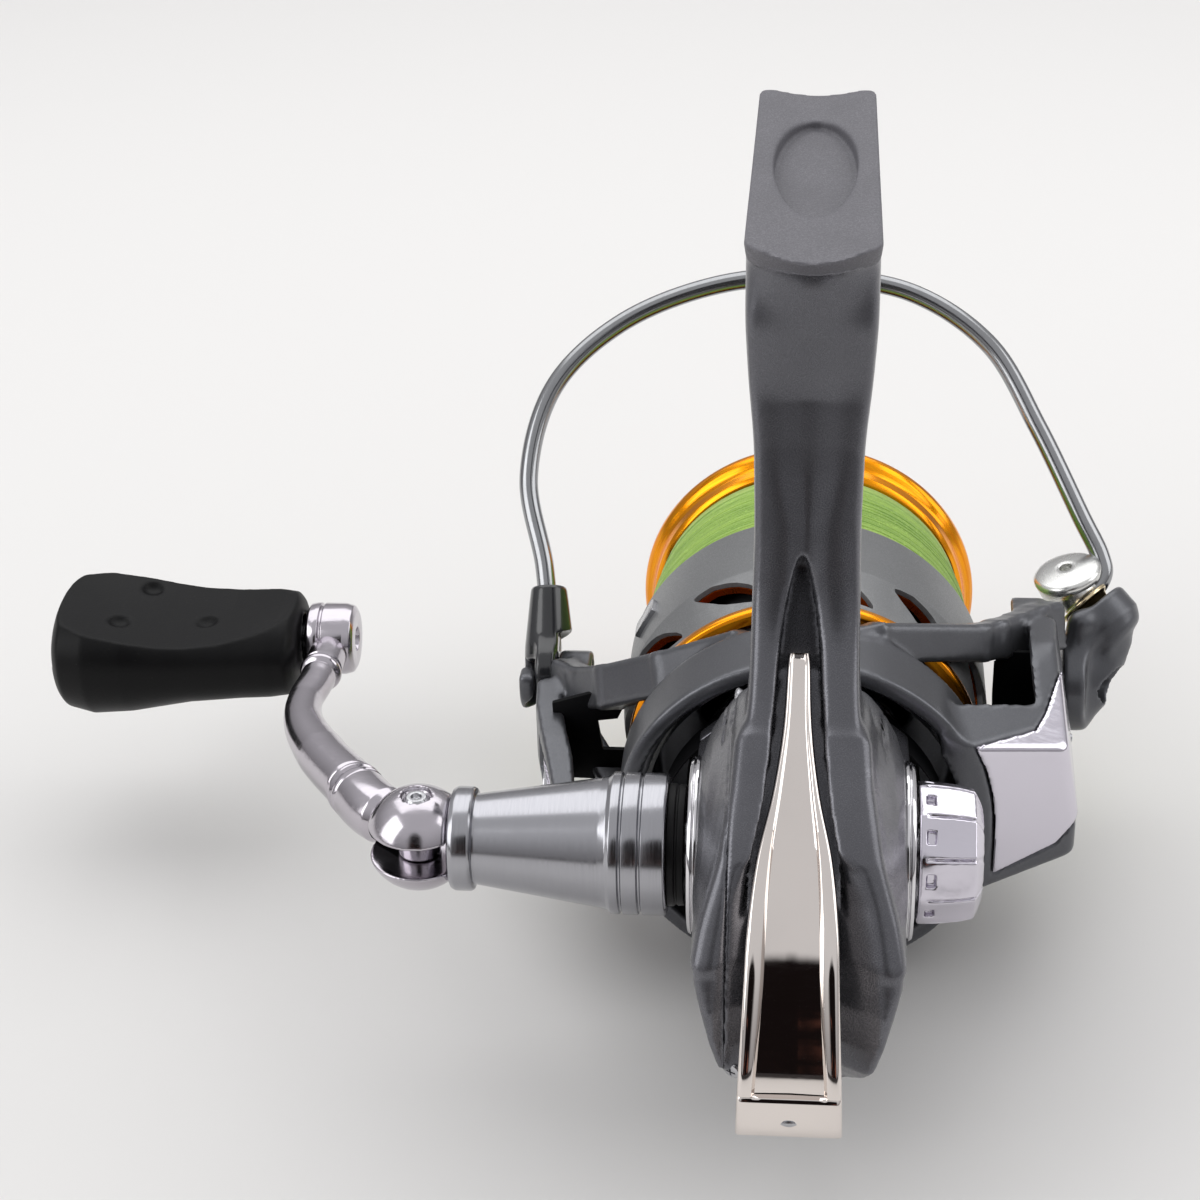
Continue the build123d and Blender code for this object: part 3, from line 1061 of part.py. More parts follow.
def spool_body():
    """Spool: skirt, rear wall, arbor, front flange and hub."""
    skirt = SKIRT_RADIUS
    inside = skirt - SKIRT_WALL
    rear_in = SKIRT_REAR_RADIUS - SKIRT_WALL
    form = turned_y([(inside, SKIRT_FRONT_Y - 1.5), (inside, SKIRT_KNEE_Y), (rear_in, SKIRT_REAR_Y),
                     (SKIRT_REAR_RADIUS, SKIRT_REAR_Y), (skirt, SKIRT_KNEE_Y),
                     (skirt, SKIRT_FRONT_Y - 0.5),
                     (skirt - 0.5, SKIRT_FRONT_Y), (ARBOR_RADIUS, SKIRT_FRONT_Y),
                     (ARBOR_RADIUS, FLANGE_REAR_Y),
                     (20.2, FLANGE_REAR_Y), (21.0, LIP_REAR_Y), (ARBOR_RADIUS - 1.8, LIP_REAR_Y),
                     (ARBOR_RADIUS - 1.8, SKIRT_FRONT_Y - 1.5)])
    web = turned_y([(HUB_BORE, 46.0), (5.4, 46.0), (5.4, WEB_Y), (ARBOR_RADIUS - 1.2, WEB_Y),
                    (ARBOR_RADIUS - 1.2, WEB_Y + 2.2), (HUB_BORE, WEB_Y + 2.2)])
    body = form + web
    window = box(-1.3, 1.3, SKIRT_REAR_Y + 1.3, SKIRT_KNEE_Y - 1.0, 15, 30)
    for k in range(SKIRT_SLOTS):
        body -= about_y(window, 360 * k / SKIRT_SLOTS + 12)
    hole = rod_y(1.5, WEB_Y - 1, WEB_Y + 4, 9.2, 0)
    for k in range(6):
        body -= about_y(hole, 60 * k)
    return body


def spool_rear_ring():
    """Coloured ring around the rear edge of the skirt."""
    inner = SKIRT_REAR_RADIUS - SKIRT_WALL
    outer = SKIRT_REAR_RADIUS + 0.3
    rear = SKIRT_REAR_Y - REAR_RING_WIDTH
    return turned_y([(inner, rear), (outer - 0.5, rear), (outer, rear + 0.5),
                     (outer, SKIRT_REAR_Y - SEAT_GAP),
                     (inner, SKIRT_REAR_Y - SEAT_GAP)])


def spool_lip():
    """Polished front lip that the line slips over."""
    rear = LIP_REAR_Y + SEAT_GAP
    return turned_y([(ARBOR_RADIUS - 1.8, rear), (21.1, rear), (LIP_RADIUS, LIP_FRONT_Y - 1.7),
                     (LIP_RADIUS, LIP_FRONT_Y - 0.7), (LIP_RADIUS - 0.8, LIP_FRONT_Y),
                     (15.5, LIP_FRONT_Y),
                     (ARBOR_RADIUS - 1.8, LIP_FRONT_Y - 1.2)])


def line_winding():
    """Line wound on the arbor."""
    gap = SEAT_GAP
    rear = SKIRT_FRONT_Y + gap
    front = FLANGE_REAR_Y - gap
    middle = (rear + front) / 2
    return turned_y([(ARBOR_RADIUS + gap, rear), (LINE_RADIUS_REAR, rear), (21.5, middle),
                     (LINE_RADIUS_FRONT, front - 0.4), (LINE_RADIUS_FRONT - 0.6, front),
                     (ARBOR_RADIUS + gap, front)])


def line_clip():
    """Small clip on the skirt that parks the end of the line."""
    block = turned_y([(SKIRT_RADIUS + SEAT_GAP, 43.2), (SKIRT_RADIUS + 0.7, 43.4),
                      (SKIRT_RADIUS + 0.7, 45.8),
                      (SKIRT_RADIUS + SEAT_GAP, 46.0)])
    return about_y(block & box(-2.2, 2.2, 40, 50, 10, 30), LINE_CLIP_ANGLE)


def spool_bush():
    """Bush in the spool's hub that turns on the shaft while the drag slips."""
    return turned_y([(SHAFT_RADIUS + RUN_FIT, 46.1), (HUB_BORE - SEAT_GAP, 46.1),
                     (HUB_BORE - SEAT_GAP, WEB_Y + 2.1),
                     (SHAFT_RADIUS + RUN_FIT, WEB_Y + 2.1)])


def click_pawl():
    """Spring pawl under the spool that clicks on the toothed seat."""
    lever = box(6.2, 8.0, 45.2, 46.6, -3.5, 3.5)
    return lever + rod_y(0.9, 46.4, WEB_Y - SEAT_GAP, 7.1, 0)


def drag_stack(kinds):
    """Washers of the drag stack whose places are listed."""
    pieces = []
    for place in kinds:
        low = WEB_Y + 2.3 + DRAG_PITCH * place
        ring = turned_y([(SHAFT_RADIUS + 0.6, low), (DRAG_BORE_RADIUS, low),
                         (DRAG_BORE_RADIUS, low + DRAG_PITCH - 0.1),
                         (SHAFT_RADIUS + 0.6, low + DRAG_PITCH - 0.1)])
        pieces.append(ring)
    return group(pieces)


def drag_clip():
    """Round wire clip that keeps the drag stack in the spool."""
    low = WEB_Y + 2.4 + DRAG_PITCH * 6
    ring = turned_y([(DRAG_BORE_RADIUS - 0.6, low), (DRAG_BORE_RADIUS + 1.5, low),
                     (DRAG_BORE_RADIUS + 1.5, low + 0.8),
                     (DRAG_BORE_RADIUS - 0.6, low + 0.8)])
    return ring - box(-2.5, 2.5, 60, 80, 5, 20)


def drag_knob():
    """Knob on the front of the shaft that sets the drag."""
    rear = DRAG_KNOB_REAR_Y
    front = rear + DRAG_KNOB_LENGTH
    radius = DRAG_KNOB_RADIUS
    knob = turned_y([(SHAFT_RADIUS + RUN_FIT, rear - 1.6), (6.0, rear - 1.6), (6.0, rear),
                     (radius - 0.4, rear),
                     (radius, rear + 0.5), (radius - 0.3, rear + 5), (radius - 2.4, rear + 6.4),
                     (radius - 4.2, front - 1.4),
                     (radius - 6.0, front), (0, front), (0, rear + 9.4),
                     (SHAFT_RADIUS + RUN_FIT, rear + 9.4)])
    for k in range(14):
        knob -= about_y(rod_y(0.9, rear - 1, rear + 5, radius + 0.45, 0), 360 * k / 14)
    bar_cut = box(3.0, 20, rear + 6.2, front + 1, -20, 20)
    return knob - bar_cut - bar_cut.mirror(Plane.YZ)


def drag_spring():
    """Spring washer between the drag knob and the stack."""
    low = WEB_Y + 2.4 + DRAG_PITCH * 6 + 0.2
    return turned_y([(SHAFT_RADIUS + 0.4, low), (5.6, low + 0.5), (5.6, DRAG_KNOB_REAR_Y - 1.7),
                     (SHAFT_RADIUS + 0.4, DRAG_KNOB_REAR_Y - 2.2)])


PARTS = {
    "main_housing": main_housing,
    "side_cover": side_cover,
    "rear_guard": rear_guard,
    "case_screws": case_screws,
    "trim_rings": lambda: group([trim_ring(-1), trim_ring(1)]),
    "gear_bearings": gear_bearings,
    "pinion_bearings": pinion_bearings,
    "one_way_clutch": one_way_clutch,
    "neck_cover": neck_cover,
    "friction_ring": friction_ring,
    "slider_guide": slider_guide,
    "gear_post": gear_post,
    "drive_gear": drive_gear,
    "axle_spur": axle_spur,
    "drive_axle": drive_axle,
    "handle_rod": handle_rod,
    "handle_sleeve": handle_sleeve,
    "sleeve_gasket": sleeve_gasket,
    "handle_fork": handle_fork,
    "fold_pin": fold_pin,
    "handle_cap": handle_cap,
    "handle_arm": handle_arm,
    "knob_shaft": knob_shaft,
    "knob_bushes": knob_bushes,
    "knob_grip": knob_grip,
    "oscillation_gear": oscillation_gear,
    "rotor": rotor,
    "arm_covers": lambda: group([arm_cover(-1), arm_cover(1)]),
    "arm_cover_screws": lambda: group([cover_screw(-1), cover_screw(1)]),
    "pinion_gear": pinion_gear,
    "clutch_sleeve": clutch_sleeve,
    "rotor_nut": rotor_nut,
    "nut_lock": nut_lock,
    "bail_spring": bail_spring,
    "kick_lever": kick_lever,
    "balance_weight": balance_weight,
    "bail_wire": bail_wire,
    "bail_holder": bail_holder,
    "roller_arm": roller_arm,
    "roller_cone": roller_cone,
    "roller_pin": roller_pin,
    "bail_screws": bail_screws,
    "line_roller": line_roller,
    "roller_bush": roller_bush,
    "main_shaft": main_shaft,
    "oscillation_slider": oscillation_slider,
    "click_gear": click_gear,
    "shaft_fasteners": lambda: group([slider_screw(), shaft_pin()]),
    "spool_body": spool_body,
    "spool_rear_ring": spool_rear_ring,
    "spool_lip": spool_lip,
    "line_winding": line_winding,
    "line_clip": line_clip,
    "spool_bush": spool_bush,
    "click_pawl": click_pawl,
    "drag_felts": lambda: drag_stack((0, 2, 4)),
    "drag_discs": lambda: drag_stack((1, 3, 5)),
    "drag_clip": drag_clip,
    "drag_knob": drag_knob,
    "drag_spring": drag_spring,
}

if __name__ == "__main__":
    os.makedirs("parts", exist_ok=True)
    for node, make in PARTS.items():
        save(make(), node)
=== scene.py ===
"""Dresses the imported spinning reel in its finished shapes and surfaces."""
import json
import logging
import math
from dataclasses import dataclass
from enum import Enum
from functools import reduce
from operator import add
from typing import Iterable, Sequence

import bmesh
import bpy
import numpy as np
from mathutils import Matrix, Vector


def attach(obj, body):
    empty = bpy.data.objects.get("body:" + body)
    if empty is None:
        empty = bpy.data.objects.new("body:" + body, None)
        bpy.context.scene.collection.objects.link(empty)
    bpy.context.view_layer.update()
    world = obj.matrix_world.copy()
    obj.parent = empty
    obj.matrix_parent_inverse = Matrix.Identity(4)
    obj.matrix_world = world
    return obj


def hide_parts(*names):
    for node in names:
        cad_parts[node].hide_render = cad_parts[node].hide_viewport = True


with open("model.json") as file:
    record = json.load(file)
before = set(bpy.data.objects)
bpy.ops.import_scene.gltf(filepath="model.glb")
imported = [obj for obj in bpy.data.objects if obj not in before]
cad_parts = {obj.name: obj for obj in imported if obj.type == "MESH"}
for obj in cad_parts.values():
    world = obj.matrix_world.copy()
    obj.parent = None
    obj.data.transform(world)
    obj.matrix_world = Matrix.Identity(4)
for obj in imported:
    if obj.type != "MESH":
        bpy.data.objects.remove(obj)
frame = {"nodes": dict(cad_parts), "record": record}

LOG = logging.getLogger("reel")
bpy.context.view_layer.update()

Point = tuple[float, float, float]
Flat = tuple[float, float]
Colour = tuple[float, float, float]


class Axis(Enum):
    """Axes that a turned or drawn form stands on."""

    X = 0
    Y = 1
    Z = 2


def linear(code: str) -> Colour:
    """Scene-linear red, green and blue of a six-digit hexadecimal display colour."""
    shown = [int(code[i:i + 2], 16) / 255 for i in (0, 2, 4)]
    return tuple(c / 12.92 if c <= 0.04045 else ((c + 0.055) / 1.055) ** 2.4 for c in shown)


# ---- shader maths
class Socket:
    """An output socket that can be used in arithmetic."""

    VECTORS = {"VECTOR", "RGBA"}

    def __init__(self, graph: "Graph", link: bpy.types.NodeSocket) -> None:
        """Wrap an output socket of a graph."""
        self.graph = graph
        self.link = link

    def _is_vector(self, other: object) -> bool:
        """Whether either side of an operation has three channels."""
        wide = isinstance(other, Socket) and other.link.type in self.VECTORS
        return wide or isinstance(other, tuple) or self.link.type in self.VECTORS

    def _apply(self, operation: str, first: object, second: object) -> "Socket":
        """Add the node for one operation.

        Args:
            operation: Name shared by the Math and Vector Math nodes.
            first: Left side.
            second: Right side.

        Returns:
            The result.
        """
        other = second if first is self else first
        if self._is_vector(other):
            sides = [(v, v, v) if isinstance(v, (int, float)) else v for v in (first, second)]
            return self.graph.add("ShaderNodeVectorMath",
                {"operation": operation}, {0: sides[0], 1: sides[1]})
        return self.graph.add("ShaderNodeMath", {"operation": operation}, {0: first, 1: second})

    def __add__(self, other: object) -> "Socket":
        """Sum."""
        return self._apply("ADD", self, other)

    def __radd__(self, other: object) -> "Socket":
        """Sum, from the right."""
        return self._apply("ADD", other, self)

    def __sub__(self, other: object) -> "Socket":
        """Difference."""
        return self._apply("SUBTRACT", self, other)

    def __rsub__(self, other: object) -> "Socket":
        """Difference, from the right."""
        return self._apply("SUBTRACT", other, self)

    def __mul__(self, other: object) -> "Socket":
        """Product."""
        return self._apply("MULTIPLY", self, other)

    def __rmul__(self, other: object) -> "Socket":
        """Product, from the right."""
        return self._apply("MULTIPLY", other, self)


class Graph:
    """Node tree of one material or world, filled from expressions."""

    def __init__(self, tree: bpy.types.NodeTree) -> None:
        """Clear a tree, to fill it anew."""
        tree.nodes.clear()
        self.tree = tree

    def node(self, kind: str, settings: dict[str, object], values: dict[object, object]) -> bpy.types.Node:
        """Add a node, its settings first and then its inputs.

        Args:
            kind: Node type.
            settings: Attributes of the node.
            values: Socket values or links, by socket name or number.

        Returns:
            The node.
        """
        made = self.tree.nodes.new(kind)
        for name, setting in settings.items():
            setattr(made, name, setting)
        for name, value in values.items():
            if isinstance(value, Socket):
                self.tree.links.new(value.link, made.inputs[name])
            elif value is not None:
                wanted = made.inputs[name]
                wide = wanted.type == "RGBA" and len(value) == 3
                wanted.default_value = (*value, 1.0) if wide else value
        return made

    def add(self, kind: str, settings: dict[str, object],
            values: dict[object, object], out: object = 0) -> Socket:
        """Add a node and take one of its outputs, by name or number."""
        return Socket(self, self.node(kind, settings, values).outputs[out])

    def place(self) -> Socket:
        """Place on the piece, in metres, fixed to the piece."""
        return self.add("ShaderNodeTexCoord", {}, {}, "Object")

    def stretched(self, scale: Point) -> Socket:
        """Place on the piece, scaled along each axis."""
        return self.place() * scale

    def noise(self, scale: float, detail: float = 2.0,
            rough: float = 0.5, at: Socket | None = None) -> Socket:
        """Noise between 0 and 1.

        Args:
            scale: Cells for each metre.
            detail: Number of finer layers.
            rough: Strength of the finer layers.
            at: Place to read, or None for the place on the piece.

        Returns:
            The noise.
        """
        spot = self.place() if at is None else at
        values = {"Vector": spot, "Scale": scale, "Detail": detail, "Roughness": rough}
        return self.add("ShaderNodeTexNoise", {"noise_dimensions": "3D"}, values, 0)

    def cells(self, scale: float, out: str = "Color", at: Socket | None = None) -> Socket:
        """One output of a cell pattern with so many cells for each metre."""
        spot = self.place() if at is None else at
        return self.add("ShaderNodeTexVoronoi", {}, {"Vector": spot, "Scale": scale}, out)

    def part(self, value: Socket, axis: Axis) -> Socket:
        """One channel of a vector."""
        return self.add("ShaderNodeSeparateXYZ", {}, {0: value}, axis.value)

    def span(self, value: Socket, low: float, high: float, first: float = 0.0, last: float = 1.0) -> Socket:
        """Map a number smoothly from the range low to high onto the range first to last."""
        names = {"Value": value, "From Min": low, "From Max": high, "To Min": first, "To Max": last}
        return self.add("ShaderNodeMapRange", {"interpolation_type": "SMOOTHSTEP"}, names)

    def mix(self, share: object, first: object, second: object) -> Socket:
        """Blend two colours with a share of the second."""
        return self.add("ShaderNodeMix", {"data_type": "RGBA"}, {0: share, 6: first, 7: second}, 2)

    def bump(self, height: Socket, depth: float, after: Socket | None = None) -> Socket:
        """Normal of fine relief of a depth in metres, on top of another normal where one is given."""
        values = {"Strength": 1.0, "Distance": depth, "Height": height, "Normal": after}
        return self.add("ShaderNodeBump", {}, values)

    def edges(self, low: float = 0.51, high: float = 0.56) -> Socket:
        """Mask of the outward edges of a fine mesh."""
        pointed = self.add("ShaderNodeNewGeometry", {}, {}, "Pointiness")
        return self.span(pointed, low, high)


# ---- finishes
@dataclass(frozen=True)
class Finish:
    """A surface finish: its name, colour and gloss."""

    name: str
    colour: Colour
    roughness: float = 0.4
    metallic: float = 0.0
    coat: float = 0.0
    coat_roughness: float = 0.08
    ior: float = 1.5
    anisotropic: float = 0.0
    sheen: float = 0.0
    specular: float = 0.5

    def surface(self, graph: Graph) -> dict[str, object]:
        """Shader inputs that vary over the surface, by name. Each kind of finish gives its own."""
        raise NotImplementedError

    def shaded(self, gain: float, lift: float = 0.0) -> Colour:
        """The colour of the finish, scaled and lifted."""
        return tuple(min(1.0, c * gain + lift) for c in self.colour)

    def material(self) -> bpy.types.Material:
        """Build the material, once for each finish.

        Returns:
            The material.
        """
        found = bpy.data.materials.get(self.name)
        if found is not None:
            return found
        made = bpy.data.materials.new(self.name)
        made.use_nodes = True
        graph = Graph(made.node_tree)
        values = {"Base Color": self.colour, "Roughness": self.roughness, "Metallic": self.metallic,
            "Coat Weight": self.coat, "Coat Roughness": self.coat_roughness, "IOR": self.ior,
            "Anisotropic": self.anisotropic, "Sheen Weight": self.sheen,
            "Specular IOR Level": self.specular}
        values.update(self.surface(graph))
        shader = graph.add("ShaderNodeBsdfPrincipled", {}, values)
        graph.node("ShaderNodeOutputMaterial", {}, {"Surface": shader})
        return made


@dataclass(frozen=True)
class FlakePaint(Finish):
    """Metallic paint with fine flakes and slightly rubbed edges."""

    flake: float = 9000.0
    rub: float = 0.35
    relief: float = 0.000003
    cloud: float = 120.0
    scuff: float = 700.0

    def surface(self, graph: Graph) -> dict[str, object]:
        """Flakes tint the colour and gloss, and edges are rubbed paler.

        Args:
            graph: Graph to build in.

        Returns:
            Inputs of the shader by name.
        """
        flakes = graph.add("ShaderNodeSeparateColor", {}, {0: graph.cells(self.flake)}, 0)
        bright = self.shaded(1.25, 0.004)
        dull = self.shaded(0.86)
        colour = graph.mix(graph.span(flakes, 0.55, 0.98), self.colour, bright)
        colour = graph.mix(graph.span(graph.noise(self.cloud, 3.0), 0.35, 0.7, 0.0, 0.5), colour, dull)
        worn = graph.edges() * graph.span(graph.noise(self.scuff, 4.0), 0.3, 0.65, 0.3, 1.0) * self.rub
        pale = self.shaded(1.9, 0.015)
        colour = graph.mix(worn, colour, pale)
        rough = graph.span(flakes, 0.0, 1.0, self.roughness * 1.1, self.roughness * 0.82) - worn * 0.08
        skin = graph.bump(graph.noise(5200.0, 2.0), self.relief)
        return {"Base Color": colour, "Roughness": rough, "Normal": skin}


@dataclass(frozen=True)
class Plated(Finish):
    """Bright plating with hairline wiping marks and a faint orange peel."""

    peel: float = 0.000004
    hairlines: Point = (350.0, 2600.0, 900.0)

    def surface(self, graph: Graph) -> dict[str, object]:
        """Wiping marks raise the roughness a little.

        Args:
            graph: Graph to build in.

        Returns:
            Inputs of the shader by name.
        """
        marks = graph.noise(1.0, 5.0, 0.7, graph.stretched(self.hairlines))
        smear = graph.noise(90.0, 3.0)
        rough = graph.span(marks, 0.35, 0.75, self.roughness * 0.7, self.roughness * 1.5)
        rough = rough + graph.span(smear, 0.5, 0.8, 0.0, self.roughness * 0.6)
        colour = graph.mix(graph.span(smear, 0.4, 0.75, 0.0, 0.5), self.colour, self.shaded(0.93))
        relief = graph.bump(graph.noise(420.0, 2.0), self.peel)
        return {"Base Color": colour, "Roughness": rough, "Normal": relief}


@dataclass(frozen=True)
class Turned(Finish):
    """Metal turned on a lathe: fine rings around one axis."""

    axis: Axis = Axis.X
    lines: float = 5200.0
    depth: float = 0.000006
    streak: float = 0.55
    around: float = 260.0

    def surface(self, graph: Graph) -> dict[str, object]:
        """Rings vary along the axis and fade a little around it.

        Args:
            graph: Graph to build in.

        Returns:
            Inputs of the shader by name.
        """
        scale = [self.around] * 3
        scale[self.axis.value] = self.lines
        rings = graph.noise(1.0, 4.0, 0.65, graph.stretched(tuple(scale)))
        cloud = graph.noise(160.0, 2.0)
        rough = graph.span(rings, 0.25, 0.75, self.roughness * 0.75, self.roughness * 1.3)
        dark = self.shaded(0.72)
        colour = graph.mix(graph.span(rings, 0.3, 0.75, 0.0, self.streak), self.colour, dark)
        colour = graph.mix(graph.span(cloud, 0.4, 0.75, 0.0, self.streak * 0.5), colour, dark)
        return {"Base Color": colour, "Roughness": rough, "Normal": graph.bump(rings, self.depth)}


@dataclass(frozen=True)
class Moulded(Finish):
    """Moulded rubber or plastic with a fine eroded skin."""

    grain: float = 3200.0
    depth: float = 0.00002
    dust: float = 0.05
    dust_colour: Colour = (0.35, 0.34, 0.33)

    def surface(self, graph: Graph) -> dict[str, object]:
        """Skin relief, handling shine and a little dust.

        Args:
            graph: Graph to build in.

        Returns:
            Inputs of the shader by name.
        """
        skin = graph.noise(self.grain, 3.0, 0.6)
        handled = graph.noise(70.0, 3.0)
        colour = graph.mix(graph.span(handled, 0.35, 0.7, 0.0, 0.5), self.colour, self.shaded(1.25, 0.003))
        specks = graph.span(graph.noise(4200.0, 1.0), 0.74, 0.8, 0.0, self.dust)
        colour = graph.mix(specks, colour, self.dust_colour)
        rough = graph.span(handled, 0.3, 0.7, self.roughness * 0.86, self.roughness * 1.12)
        return {"Base Color": colour, "Roughness": rough, "Normal": graph.bump(skin, self.depth)}


@dataclass(frozen=True)
class Anodised(Finish):
    """Anodised alloy: deep colour over fine turning around the spool axis."""

    depth: float = 0.000005

    def surface(self, graph: Graph) -> dict[str, object]:
        """Turning rings under a clear colour, with cut sparkle.

        Args:
            graph: Graph to build in.

        Returns:
            Inputs of the shader by name.
        """
        rings = graph.noise(1.0, 4.0, 0.6, graph.stretched((180, 6200, 180)))
        deep = (self.colour[0] * 0.86, self.colour[1] * 0.66, self.colour[2] * 0.5)
        colour = graph.mix(graph.span(rings, 0.35, 0.75), self.colour, deep)
        rough = graph.span(rings, 0.2, 0.8, self.roughness * 0.7, self.roughness * 1.35)
        return {"Base Color": colour, "Roughness": rough, "Normal": graph.bump(rings, self.depth)}


@dataclass(frozen=True)
class Braid(Finish):
    """Braided line: strands crossing along each turn."""

    shade: Colour = (0.1, 0.2, 0.03)
    depth: float = 0.00005

    def surface(self, graph: Graph) -> dict[str, object]:
        """Strand pattern, uneven dye and pale wear.

        Args:
            graph: Graph to build in.

        Returns:
            Inputs of the shader by name.
        """
        strands = graph.cells(5200.0, "Distance")
        dye = graph.noise(1.0, 3.0, 0.6, graph.stretched((90, 1300, 90)))
        colour = graph.mix(graph.span(dye, 0.3, 0.72), self.colour, self.shade)
        colour = graph.mix(graph.span(strands, 0.05, 0.55, 0.0, 0.3), colour, self.shaded(0.5))
        pale = graph.span(graph.noise(2400.0, 2.0), 0.55, 0.8, 0.0, 0.35)
        colour = graph.mix(pale, colour, self.shaded(1.5, 0.06))
        return {"Base Color": colour, "Normal": graph.bump(strands, self.depth)}


class Surfaces(Enum):
    """Every finish used on the reel."""

    BODY = FlakePaint("satin_graphite_paint", linear("606065"),
        0.31, 0.72, coat=0.15, coat_roughness=0.25, flake=16000.0)
    FOOT = FlakePaint("matte_graphite_paint", linear("67666B"), 0.62, 0.15, rub=0.2)
    ROTOR = FlakePaint("rotor_graphite_paint", linear("5B5C60"),
        0.35, 0.65, coat=0.1, coat_roughness=0.3, flake=16000.0)
    GUARD = Plated("warm_mirror_plating", (0.80, 0.74, 0.70), 0.055, 1.0)
    LILAC = Plated("lilac_satin_plating", (0.70, 0.67, 0.74), 0.17, 1.0)
    CHROME = Plated("bright_plating", (0.74, 0.73, 0.75), 0.07, 1.0)
    SLEEVE = Turned("satin_sleeve_steel", (0.40, 0.40, 0.425),
        0.2, 1.0, anisotropic=0.2, depth=0.0000006, streak=0.12)
    ARM = Plated("arm_satin_plating", (0.52, 0.49, 0.53), 0.17, 1.0)
    WIRE = Turned("polished_wire_steel", (0.33, 0.335, 0.345), 0.17,
        1.0, axis=Axis.X, lines=900.0, depth=0.000001, streak=0.25)
    STEEL = Turned("ground_steel", (0.52, 0.52, 0.54), 0.22, 1.0, axis=Axis.Y)
    STEEL_X = Turned("ground_steel_cross", (0.52, 0.52, 0.54), 0.22, 1.0, axis=Axis.X)
    BRASS = Turned("machined_brass", (0.72, 0.50, 0.20), 0.25, 1.0, axis=Axis.Y)
    ZINC = Turned("cast_zinc", (0.36, 0.36, 0.38), 0.42, 0.9, axis=Axis.X, lines=1800.0)
    RUBBER = Moulded("soft_black_rubber", linear("0B0B0C"), 0.42, specular=0.14)
    GASKET = Moulded("black_seal_rubber", linear("0B0B0C"), 0.5, dust=0.02, specular=0.2)
    # Painted shade: dead black for pieces that stand in for the shade in the guard's slot, around the case's
    # neck, inside the rotor's arms and in the fold joint.
    SHADE_BLACK = Moulded("painted_shade_black", linear("08080A"), 0.6, dust=0.0, specular=0.1)
    BLACK = Moulded("black_moulding", linear("121214"), 0.45, dust=0.02, specular=0.3)
    GLOSS_BLACK = Moulded("glossy_black_moulding",
        linear("1E1F22"), 0.2, depth=0.000006, dust=0.02, coat=0.5)
    SKIRT = FlakePaint("skirt_satin_coating", linear("7A7B7C"), 0.42, 0.45, rub=0.2, flake=14000.0)
    LIP = Anodised("orange_anodising", (0.95, 0.36, 0.004), 0.2, 1.0, coat=0.2)
    SLOT_RIM = Anodised("dark_orange_anodising", (0.55, 0.10, 0.004), 0.3, 0.9)
    BRAID = Braid("lime_braided_line", linear("ABCF5C"), 0.62, sheen=0.25, shade=linear("80AA40"))
    CONE = Turned("pale_cone_alloy", (0.72, 0.72, 0.70), 0.24,
        0.9, axis=Axis.Z, lines=1500.0, depth=0.000001, streak=0.15)
    ROLLER = Turned("pale_gold_coating", (0.80, 0.66, 0.42), 0.14, 1.0, axis=Axis.Z, lines=1200.0)
    FELT = Braid("oiled_felt", linear("8C8068"), 0.9, sheen=0.3, shade=linear("5E543F"))


def dress(piece: bpy.types.Object, surface: Surfaces) -> bpy.types.Object:
    """Give a piece one finish all over.

    Args:
        piece: The piece.
        surface: Its finish.

    Returns:
        The piece.
    """
    piece.data.materials.clear()
    piece.data.materials.append(surface.value.material())
    return piece


# ---- places
MM = 0.001
JOINTS = {row["name"]: row for row in frame["record"]["behaviour"]["joints"]}
ORIGIN = Vector((0, JOINTS["handle_turn"]["pos_m"][1], JOINTS["rotor_turn"]["pos_m"][2]))


def to_frame(point: Sequence[float]) -> Vector:
    """Frame place of a point in millimetres across, forward of the handle axis and above the spool axis."""
    return ORIGIN + Vector(point) * MM


# ---- forms
@dataclass
class Form:
    """A mesh in millimetres."""

    points: np.ndarray
    faces: list[tuple[int, ...]]

    def __add__(self, other: "Form") -> "Form":
        """Both forms as one.

        Args:
            other: Form to add.

        Returns:
            Both, the second after the first.
        """
        shift = len(self.points)
        moved = [tuple(i + shift for i in face) for face in other.faces]
        return Form(np.vstack([self.points, other.points]), list(self.faces) + moved)

    def moved(self, matrix: Matrix) -> "Form":
        """The form carried by a matrix."""
        rows = np.array(matrix.to_3x3()) @ self.points.T
        return Form(rows.T + np.array(matrix.translation), self.faces)

    def mirrored(self) -> "Form":
        """The form on the other side of the middle plane."""
        return Form(self.points * (-1, 1, 1), [face[::-1] for face in self.faces])

    def mesh(self, name: str) -> bpy.types.Mesh:
        """Mesh data of the form, its faces turned outward.

        Args:
            name: Name of the mesh.

        Returns:
            The mesh.
        """
        made = bpy.data.meshes.new(name)
        made.from_pydata([tuple(p) for p in self.points.tolist()], [], self.faces)
        work = bmesh.new()
        work.from_mesh(made)
        bmesh.ops.recalc_face_normals(work, faces=work.faces)
        work.to_mesh(made)
        work.free()
        return made


def unit(way: Sequence[float]) -> np.ndarray:
    """Vector of length one in the same direction."""
    return np.array(way, float) / np.linalg.norm(way)


def combined(forms: Iterable[Form]) -> Form:
    """All forms as one, in order."""
    return reduce(add, forms)


